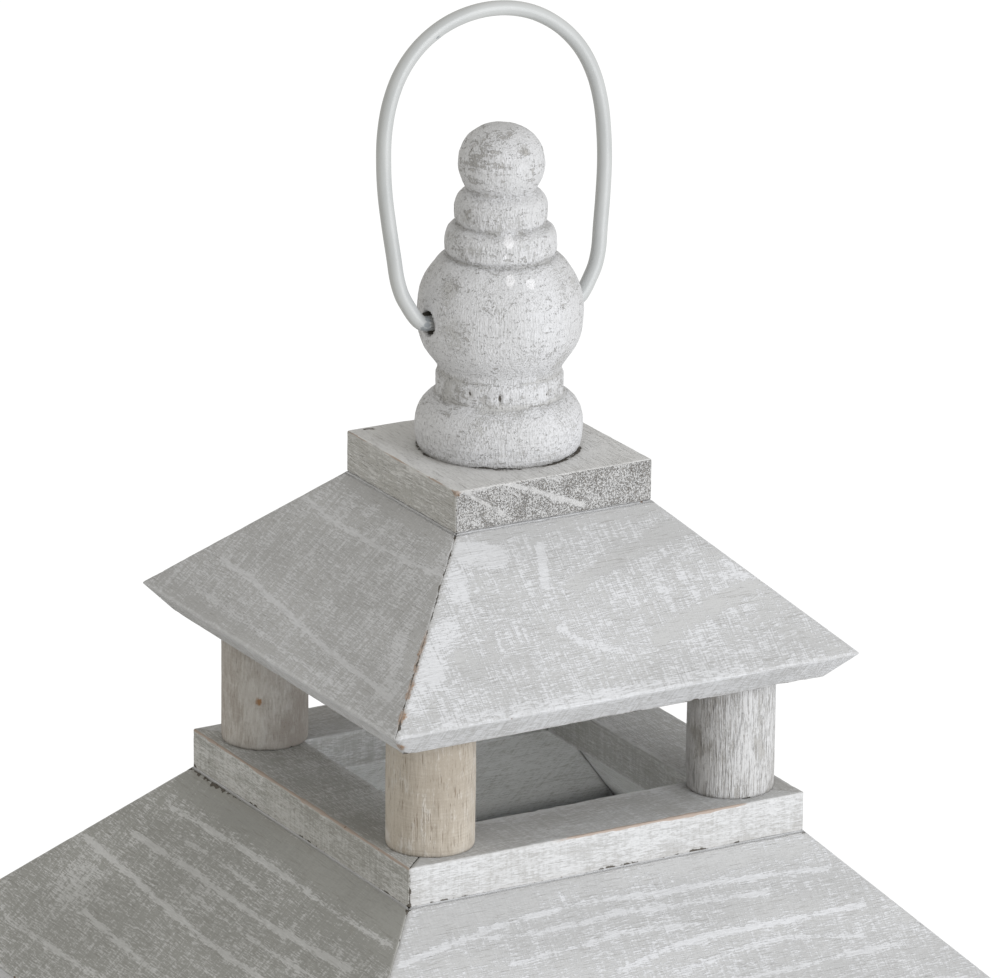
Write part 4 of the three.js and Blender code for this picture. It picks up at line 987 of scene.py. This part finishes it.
def finial():
    pr = smooth_profile(PROFILE, BREAKS)
    pr = pr[1:-1]
    # crease mask from the distance to the sharp valleys of the profile
    creases = np.array([PROFILE[8], PROFILE[10], PROFILE[21], PROFILE[25], PROFILE[29], (23.3, 0)])
    na = 240
    th = np.linspace(0, 2 * np.pi, na, endpoint=False)
    rows = len(pr)
    R = np.repeat(pr[:, 0][:, None], na, 1)
    Z = np.repeat(pr[:, 1][:, None], na, 1)
    TH = np.repeat(th[None, :], rows, 0)
    tang = np.gradient(pr, axis=0)
    tang /= np.linalg.norm(tang, axis=1, keepdims=True) + 1e-9
    nr, nz = tang[:, 1], -tang[:, 0]
    q = np.stack([R * np.cos(TH), R * np.sin(TH), Z], 2)
    dis = 0.16 * vnoise(q, (9, 9, 9), 5, 2) + 0.07 * vnoise(q, (1.2, 1.2, 5), 6, 2) + 0.13 * vnoise(q, (2.6, 2.6, 2.2), 16, 3, 0.6)
    # hatching pressed into the steep lower sides of the rings
    dis = dis + 0.14 * sstep(Z, 72, 78) * vnoise(q, (4, 4, 4), 28, 3, 0.6)
    ringside = np.exp(-((Z - 58.6) / 1.9) ** 2) + np.exp(-((Z - 68.0) / 1.8) ** 2) + np.exp(-((Z - 18.6) / 2.2) ** 2)
    hatch = np.clip(vnoise(np.stack([TH * R, Z * 0.22, Z * 0], 2), (0.9, 1.0, 1.0), 26, 1) - 0.1, 0, 1)
    dis = dis - 0.35 * ringside * hatch
    cd = np.min(np.hypot(pr[:, 0][:, None] - creases[None, :, 0], pr[:, 1][:, None] - creases[None, :, 1]), axis=1)
    crease = np.exp(-cd / 0.9)
    lathe = vnoise(np.stack([np.zeros(rows), np.zeros(rows), pr[:, 1]], 1), (1, 1, 0.8), 9, 1)
    dis = dis + (0.05 * lathe * (0.3 + crease))[:, None]
    dis = dis * sstep(R, 0.5, 4)
    co = np.stack([(R + dis * nr[:, None]) * np.cos(TH), (R + dis * nr[:, None]) * np.sin(TH), Z + dis * nz[:, None]], 2)
    # the two holes for the bail, along X at z = 38.5
    zb = 38.5
    yy, zz = co[:, :, 1], co[:, :, 2] - zb
    rr = np.hypot(yy, zz)
    ragged = 0.8 * vnoise(co * np.array([0.2, 1, 1]), (1.8, 1.8, 1.8), 12, 3, 0.6)
    inside = (1 - sstep(rr + ragged, 2.5, 3.4)) * (np.abs(co[:, :, 0]) > 10)
    hole_depth = 9.0
    co[:, :, 0] -= np.sign(co[:, :, 0]) * inside * hole_depth
    chipz = np.exp(-(np.maximum(rr - 2.9, 0) / 0.9) ** 2) * (np.abs(co[:, :, 0]) > 8) * (rr < 7)
    left = np.cos(TH) < 0
    # small gouges in the ball and chips in the neck ring: angle about Z, height, half width, half height, depth
    gouges = [(-3.02, 87.2, 0.5, 2.0, 0.5), (-2.08, 18.9, 0.6, 1.7, 0.9), (-1.21, 21.0, 0.4, 1.6, 0.7), (-1.22, 18.4, 0.7, 0.8, 0.9),
              (-2.56, 19.6, 0.9, 1.3, 0.3)]
    gm = np.zeros_like(R)
    for a, z, w, h, dep in gouges:
        if dep == 0:
            continue
        da = (np.mod(TH - a + np.pi, 2 * np.pi) - np.pi) * R
        g = np.exp(-((da / w) ** 2 + ((Z - z) / h) ** 2))
        gm = np.maximum(gm, g)
        g = g * dep
        co[:, :, 0] -= g * np.cos(TH)
        co[:, :, 1] -= g * np.sin(TH)
    co[:, :, 2] += T + 0.02
    gc = np.stack([Z + 17.0, R * np.cos(TH) + 400, R * np.sin(TH) + 90], 2)
    m1 = np.zeros((rows, na, 3))
    m2 = np.zeros((rows, na, 3))
    # painted shade in the turned creases, as less paint
    m1[:, :, 1] += crease[:, None] * 0.25
    m1[:, :, 0] += 0.16 * sstep(Z, 71, 77) + 0.06 * np.exp(-((Z - 38) / 12) ** 2)

    def spot(a, z, w, h):
        da = (np.mod(TH - a + np.pi, 2 * np.pi) - np.pi) * R
        return np.exp(-((da / w) ** 2 + ((Z - z) / h) ** 2) ** 1.5)

    for a, z, w, h, k in ((-1.93, 63.0, 1.9, 2.3, 1.05), (-1.98, 58.7, 2.0, 1.5, 0.72), (-1.94, 53.0, 1.9, 2.0, 0.98),
                          (-1.64, 51.9, 2.0, 1.8, 0.95), (-1.66, 59.0, 0.9, 1.6, 0.3), (-2.2, 33.0, 6, 5, 0.12),
                          (-1.5, 38.0, 6, 6, 0.10), (-2.35, 46.0, 4, 4, 0.16)):
        m1[:, :, 0] += k * spot(a, z, w, h)
    for a, z, w, h, k in ((-2.7, 84.0, 3.2, 3.0, 0.24), (-2.0, 83.0, 2.6, 2.0, 0.24), (-1.45, 87.5, 2.2, 1.6, 0.34), (-2.9, 76.5, 2.6, 1.6, 0.2),
                          (-2.9, 48.5, 4, 5, 0.2), (-2.6, 38.0, 5, 6, 0.14), (-2.9, 68, 4, 2, 0.2), (-2.4, 60, 5, 2.0, 0.14), (-2.9, 20, 4, 3, 0.2),
                          (-1.9, 90.5, 3, 1.2, 0.2)):
        m1[:, :, 1] += k * spot(a, z, w, h)
    m1[:, :, 2] += 0.42 * spot(-2.08, 82.0, 1.7, 1.3)
    m2[:, :, 2] += 0.45 * ringside * hatch
    for a, z, w, h, k in ((-2.75, 84.5, 3.0, 2.6, 0.42), (-2.1, 83.6, 2.4, 1.0, 0.36), (-1.5, 87.0, 1.6, 1.2, 0.42), (-1.25, 80.5, 0.9, 2.4, 0.34),
                          (-2.8, 78.5, 2.2, 1.4, 0.34), (-2.0, 91.0, 3.0, 0.9, 0.4), (-2.9, 69.5, 2.2, 2.0, 0.34), (-1.6, 70.5, 2.4, 1.0, 0.28),
                          (-2.9, 60.5, 2.6, 2.6, 0.3), (-2.75, 50.5, 2.2, 2.4, 0.32), (-2.5, 37.0, 1.2, 3.2, 0.30), (-2.2, 47.0, 2.2, 2.0, 0.26),
                          (-1.15, 45.0, 2.4, 3.4, 0.28), (-1.35, 33.0, 0.8, 2.4, 0.30), (-2.7, 18.5, 2.0, 2.2, 0.34)):
        m2[:, :, 2] += 0.8 * k * spot(a, z, w, h)
    # painted shade: smudges darker in the creases and on the left side; a little smudging at the top
    m2[:, :, 2] += crease[:, None] * 0.18 + 0.05 * sstep(Z, 73, 78) + 0.05 * (np.cos(TH + 0.15) < -0.35)
    m2[:, :, 2] += 0.22 * np.clip(vnoise(q + 50, (5, 5, 4), 46, 3, 0.65) - 0.15, 0, 1)
    m2[:, :, 1] += 0.5 * spot(-2.73, 7.7, 0.7, 0.8) + 0.5 * spot(-2.57, 8.3, 0.6, 0.9)
    m2[:, :, 1] += 0.4 * spot(-1.35, 3.0, 7.0, 0.7) + 0.42 * spot(-2.0, 4.2, 4.0, 0.5)
    # painted shade inside the bail holes and in the gouges, darker chips round the holes, and dirt with painted contact
    # shade round the foot on the cap
    m2[:, :, 1] += gm * 1.0 + chipz * np.where(left, 1.0, 0.3) + inside * 1.2
    m2[:, :, 1] += np.exp(-Z / 1.1) * 1.12 * np.clip(0.70 + 0.6 * vnoise(np.stack([TH * 23, Z, Z * 0], 2), (6, 3, 1), 36, 4, 0.7), 0.2, 1.15)
    flatco = co.reshape(-1, 3)
    n = len(flatco)
    verts = np.vstack([flatco, [[0, 0, T + 0.02]], [[0, 0, T + 92.5]]])
    faces = []
    for i in range(rows - 1):
        for k in range(na):
            k2 = (k + 1) % na
            faces.append((i * na + k, i * na + k2, (i + 1) * na + k2, (i + 1) * na + k))
    for k in range(na):
        k2 = (k + 1) % na
        faces.append((n, k2, k))
        faces.append((n + 1, (rows - 1) * na + k, (rows - 1) * na + k2))
    faces = outward(verts, faces)
    gcf = np.vstack([gc.reshape(-1, 3), [[17, 400, 90]], [[109.5, 400, 90]]])
    m1f = np.vstack([m1.reshape(-1, 3), np.zeros((2, 3))])
    m2f = np.vstack([m2.reshape(-1, 3), np.zeros((2, 3))])
    make("finial", verts, faces, BODY, ["finial"], [M_FINIAL], gcf, m1f, m2f)


finial()

# ------------------------------------------------------------------ bail
BAIL = [(12.5, 0), (16, 0), (20, 0), (22.8, .05), (25.1, .6), (27, 2.6), (28.9, 5.6), (30.7, 9), (32, 13.6), (32.8, 20),
        (33.9, 29), (34.7, 38), (34.8, 46), (34.2, 54.5), (32.2, 63), (28.4, 70.8), (22.4, 77.4), (14.4, 82.3), (5, 84.8)]


def bail():
    half = np.array(BAIL)
    ctrl = np.vstack([half, (half * np.array([-1, 1]))[::-1]])
    pts = [ctrl[0]]
    ext = np.vstack([2 * ctrl[0] - ctrl[1], ctrl, 2 * ctrl[-1] - ctrl[-2]])
    for k in range(len(ctrl) - 1):
        p0, p1, p2, p3 = ext[k:k + 4]
        t01, t12, t23 = (np.linalg.norm(q) ** 0.5 + 1e-6 for q in (p1 - p0, p2 - p1, p3 - p2))
        v1 = ((p1 - p0) / t01 - (p2 - p0) / (t01 + t12) + (p2 - p1) / t12) * t12
        v2 = ((p2 - p1) / t12 - (p3 - p1) / (t12 + t23) + (p3 - p2) / t23) * t12
        m = max(3, int(np.linalg.norm(p2 - p1) / 0.9))
        for t in np.linspace(0, 1, m + 1)[1:]:
            pts.append((2 * t ** 3 - 3 * t ** 2 + 1) * p1 + (t ** 3 - 2 * t ** 2 + t) * v1
                       + (-2 * t ** 3 + 3 * t ** 2) * p2 + (t ** 3 - t ** 2) * v2)
    P2 = np.array(pts)
    lean = math.radians(-5.0)
    P = np.stack([P2[:, 0], -P2[:, 1] * math.sin(lean), P2[:, 1] * math.cos(lean) + T + 38.5], 1)
    # hand-bent wire: slight waves in its run
    s = np.concatenate([[0], np.cumsum(np.linalg.norm(np.diff(P, axis=0), axis=1))])
    tan = np.gradient(P, axis=0)
    tan /= np.linalg.norm(tan, axis=1, keepdims=True)
    side = np.array([0.0, math.cos(lean), math.sin(lean)])
    na, r = 20, 2.1
    th = np.linspace(0, 2 * np.pi, na, endpoint=False)
    co, gc, m1 = [], [], []
    wave = 0.18 * vnoise(np.stack([s, s * 0, s * 0], 1), (22, 1, 1), 3, 1) * sstep(np.minimum(s, s[-1] - s), 12, 25)
    for i in range(len(P)):
        b = np.cross(tan[i], side)
        b /= np.linalg.norm(b)
        a = np.cross(b, tan[i])
        e = min(s[i], s[-1] - s[i])
        rad = r * (1 if e > 0.5 else 0.86)
        ring = P[i] + b * wave[i] + rad * (np.cos(th)[:, None] * a + np.sin(th)[:, None] * b)
        co.append(ring)
        gc.append(np.stack([np.full(na, s[i]), np.cos(th) * r + 50, np.sin(th) * r], 1))
        bare = np.zeros(na)
        # the enamel is knocked off where the wire enters the wood, and at one scuff near the top left
        bare += 0.85 * math.exp(-((s[i] - (s[-1] - 11.5)) / 3.0) ** 2) + 0.5 * math.exp(-((s[i] - 9.0) / 2.0) ** 2)
        bare += 0.7 * math.exp(-((s[i] - (s[-1] - 101.0)) / 1.3) ** 2) * (np.cos(th - 2.6) > 0.6)
        m1.append(np.stack([np.zeros(na), bare, np.zeros(na)], 1))
    S = len(P)
    verts = np.concatenate(co)
    faces = []
    for i in range(S - 1):
        for k in range(na):
            k2 = (k + 1) % na
            faces.append((i * na + k, i * na + k2, (i + 1) * na + k2, (i + 1) * na + k))
    faces.append(tuple(range(na - 1, -1, -1)))
    faces.append(tuple((S - 1) * na + k for k in range(na)))
    faces = outward(verts, faces)
    make("bail_handle", verts, faces, "bail", ["bail_handle"], [M_BAIL], np.concatenate(gc), np.concatenate(m1))


bail()

# ------------------------------------------------------------------ carried-over nodes
M_BOX = {k: whitewash("whitewash_frame_" + k, bias=0.66, streak=0.62, saw=0.10, patch=0.5, patch_size=(40, 9, 9),
                      streak_size=(9, 0.5, 0.6), white=(0.69, 0.695, 0.705), ground=(0.50, 0.49, 0.475), pores=0.6,
                      relief=0.14, coords=k) for k in "xyz"}


def dress(node, mat, bevel=0.0, segments=3):
    ob = NODES[node]
    ob.data.materials.clear()
    ob.data.materials.append(mat)
    if bevel:
        b = ob.modifiers.new("worn_arris", "BEVEL")
        b.width = bevel / 1000.0
        b.segments = segments
        b.limit_method = "ANGLE"
        b.angle_limit = math.radians(35)
        b.use_clamp_overlap = True


def slotted_screw(node, body, turn, head_h):
    """A domed, slotted screw that faces -Y; its sizes come from the node."""
    lo, hi = box_mm(node)
    cx, cz = (lo[0] + hi[0]) / 2, (lo[2] + hi[2]) / 2
    R = (hi[0] - lo[0]) / 2
    seat, tip = lo[1] + head_h, hi[1]
    shank = R * 0.44
    prof = [(R * math.sin(a), -head_h * (0.22 + 0.78 * math.cos(a))) for a in np.linspace(0.0, math.pi / 2, 16)][1:]
    prof += [(R, -0.06), (R - 0.08, 0.0), (shank + 0.05, 0.0)]
    length = tip - seat
    m = 22
    for k in range(m):
        t = k / (m - 1)
        prof.append((shank * (1.0 if k % 2 else 0.84) * (1 if t < 0.75 else 1 - (t - 0.75) * 3.4), 0.1 + t * (length - 0.5)))
    na = 48
    th = np.linspace(0, 2 * np.pi, na, endpoint=False)
    ca, sa = math.cos(turn), math.sin(turn)
    verts = []
    rows = len(prof)
    for r, y in prof:
        px, pz = r * np.cos(th), r * np.sin(th)
        d = np.abs(px * ca + pz * sa)
        cut = (1 - sstep(d, 0.13 * R, 0.20 * R)) * (1.0 if y < -0.1 else 0.0)
        yy = y + cut * np.maximum(0.0, (-0.42 * head_h) - y)
        verts.append(np.stack([cx + px, seat + yy, cz + pz], 1))
    verts = np.concatenate(verts + [np.array([[cx, seat - 0.42 * head_h, cz]]), np.array([[cx, tip, cz]])])
    faces = []
    for i in range(rows - 1):
        for k in range(na):
            k2 = (k + 1) % na
            faces.append((i * na + k, i * na + k2, (i + 1) * na + k2, (i + 1) * na + k))
    n = rows * na
    for k in range(na):
        k2 = (k + 1) % na
        faces.append((n, k2, k))
        faces.append((n + 1, (rows - 1) * na + k, (rows - 1) * na + k2))
    faces = outward(verts, faces)
    make(node, verts, faces, body, [node], [M_STEEL], np.zeros((len(verts), 3)))


k = 0
for h in ("lower", "upper"):
    for which, body in (("frame", "lantern_body"), ("door", "door")):
        for row in ("low", "high"):
            k += 1
            slotted_screw("hinge_%s_%s_screw_%s" % (h, which, row), body, (0.35, 1.7, 2.6, 0.9, 1.2, 2.1, 0.1, 2.9)[k - 1], 1.2)
slotted_screw("latch_pivot_screw", "door", 0.6, 1.5)
slotted_screw("latch_catch_screw", "lantern_body", 2.2, 1.5)

# base board, with worn arrises
BASE_LO, BASE_HI = box_mm("base_board")
d = rbox(BASE_LO, BASE_HI, 2.6, 0.9, 0.9, 9, grain="x", wob=0.08)
m1 = np.zeros((len(d["co"]), 3))
m2 = np.zeros((len(d["co"]), 3))
m2[:, 0] = d["wear"]
make("base_board", d["co"], outward(d["co"], d["faces"]), BODY, ["base_board"], [M_TRIM], d["gc"], m1, m2)


for n, ob in NODES.items():
    if n.startswith(("hinge_", "latch_", "finial_screw")):
        dress(n, M_STEEL, 0.18 if n.endswith("leaf") or n == "latch_hook" else 0.0, 2)
    elif "glass" in n:
        dress(n, M_GLASS)
        ob.visible_shadow = False
    elif n.startswith("corner_post") or n.startswith("door_stile"):
        dress(n, M_BOX["z"], 0.8)
    elif n in ("bottom_rail_right", "bottom_rail_left", "top_rail_right", "top_rail_left"):
        dress(n, M_BOX["y"], 0.8)
    elif n.startswith(("bottom_rail", "top_rail", "door_rail", "base_board")):
        dress(n, M_BOX["x"], 0.8)

# ------------------------------------------------------------------ stage and light
def stage():
    n = 96
    r = 0.8
    verts = [(0, 0, 0)] + [(r * math.cos(2 * math.pi * i / n), r * math.sin(2 * math.pi * i / n), 0) for i in range(n)]
    faces = [(0, i + 1, (i + 1) % n + 1) for i in range(n)]
    me = bpy.data.meshes.new("floor")
    me.from_pydata(verts, [], faces)
    ob = bpy.data.objects.new("floor", me)
    bpy.context.scene.collection.objects.link(ob)
    m = bpy.data.materials.new("floor_pale")
    m.use_nodes = True
    b = m.node_tree.nodes["Principled BSDF"]
    b.inputs["Base Color"].default_value = (0.86, 0.86, 0.85, 1)
    b.inputs["Roughness"].default_value = 0.9
    me.materials.append(m)

    w = bpy.data.worlds.new("studio")
    bpy.context.scene.world = w
    w.use_nodes = True
    nt = w.node_tree
    nt.nodes.clear()
    out = nt.nodes.new("ShaderNodeOutputWorld")
    bg = nt.nodes.new("ShaderNodeBackground")
    lp = nt.nodes.new("ShaderNodeLightPath")
    mx = nt.nodes.new("ShaderNodeMix")
    mx.data_type = "RGBA"
    nt.links.new(lp.outputs["Is Camera Ray"], mx.inputs[0])
    mx.inputs[6].default_value = (0.655, 0.642, 0.605, 1)
    mx.inputs[7].default_value = (1.05, 1.05, 1.05, 1)
    nt.links.new(mx.outputs[2], bg.inputs[0])
    bg.inputs[1].default_value = 1.0
    nt.links.new(bg.outputs[0], out.inputs[0])

    def area(name, az, el, dist, size, power, colour):
        a, e = math.radians(az), math.radians(el)
        d = Vector((math.sin(a) * math.cos(e), -math.cos(a) * math.cos(e), math.sin(e)))
        li = bpy.data.lights.new(name, "AREA")
        li.shape = "RECTANGLE"
        li.size, li.size_y = size
        li.energy = power
        li.color = colour
        lo = bpy.data.objects.new(name, li)
        bpy.context.scene.collection.objects.link(lo)
        target = Vector((0, 0, 0.42))
        lo.location = target + d * dist
        lo.rotation_euler = (-d).to_track_quat("-Z", "Y").to_euler()

    area("key", 20, 18, 2.4, (1.6, 1.6), 36.5, (0.945, 0.968, 1.0))
    area("low_fill", 22, -8, 1.6, (1.2, 0.3), 4.0, (0.97, 0.98, 1.0))
    # light thrown up from the pale base board inside the glass
    li = bpy.data.lights.new("inside_bounce", "AREA")
    li.shape = "SQUARE"
    li.size = 0.13
    li.energy = 0.052
    li.color = (1.0, 0.97, 0.88)
    lo = bpy.data.objects.new("inside_bounce", li)
    bpy.context.scene.collection.objects.link(lo)
    lo.location = (0, 0, 0.20)
    lo.rotation_euler = (math.pi, 0, 0)
    lo.visible_camera = False
    lo.visible_glossy = False
    lo.visible_transmission = False
    vs = bpy.context.scene.view_settings
    vs.view_transform = "Standard"
    vs.look = "None"
    vs.exposure = 0.0
    vs.gamma = 1.0


stage()
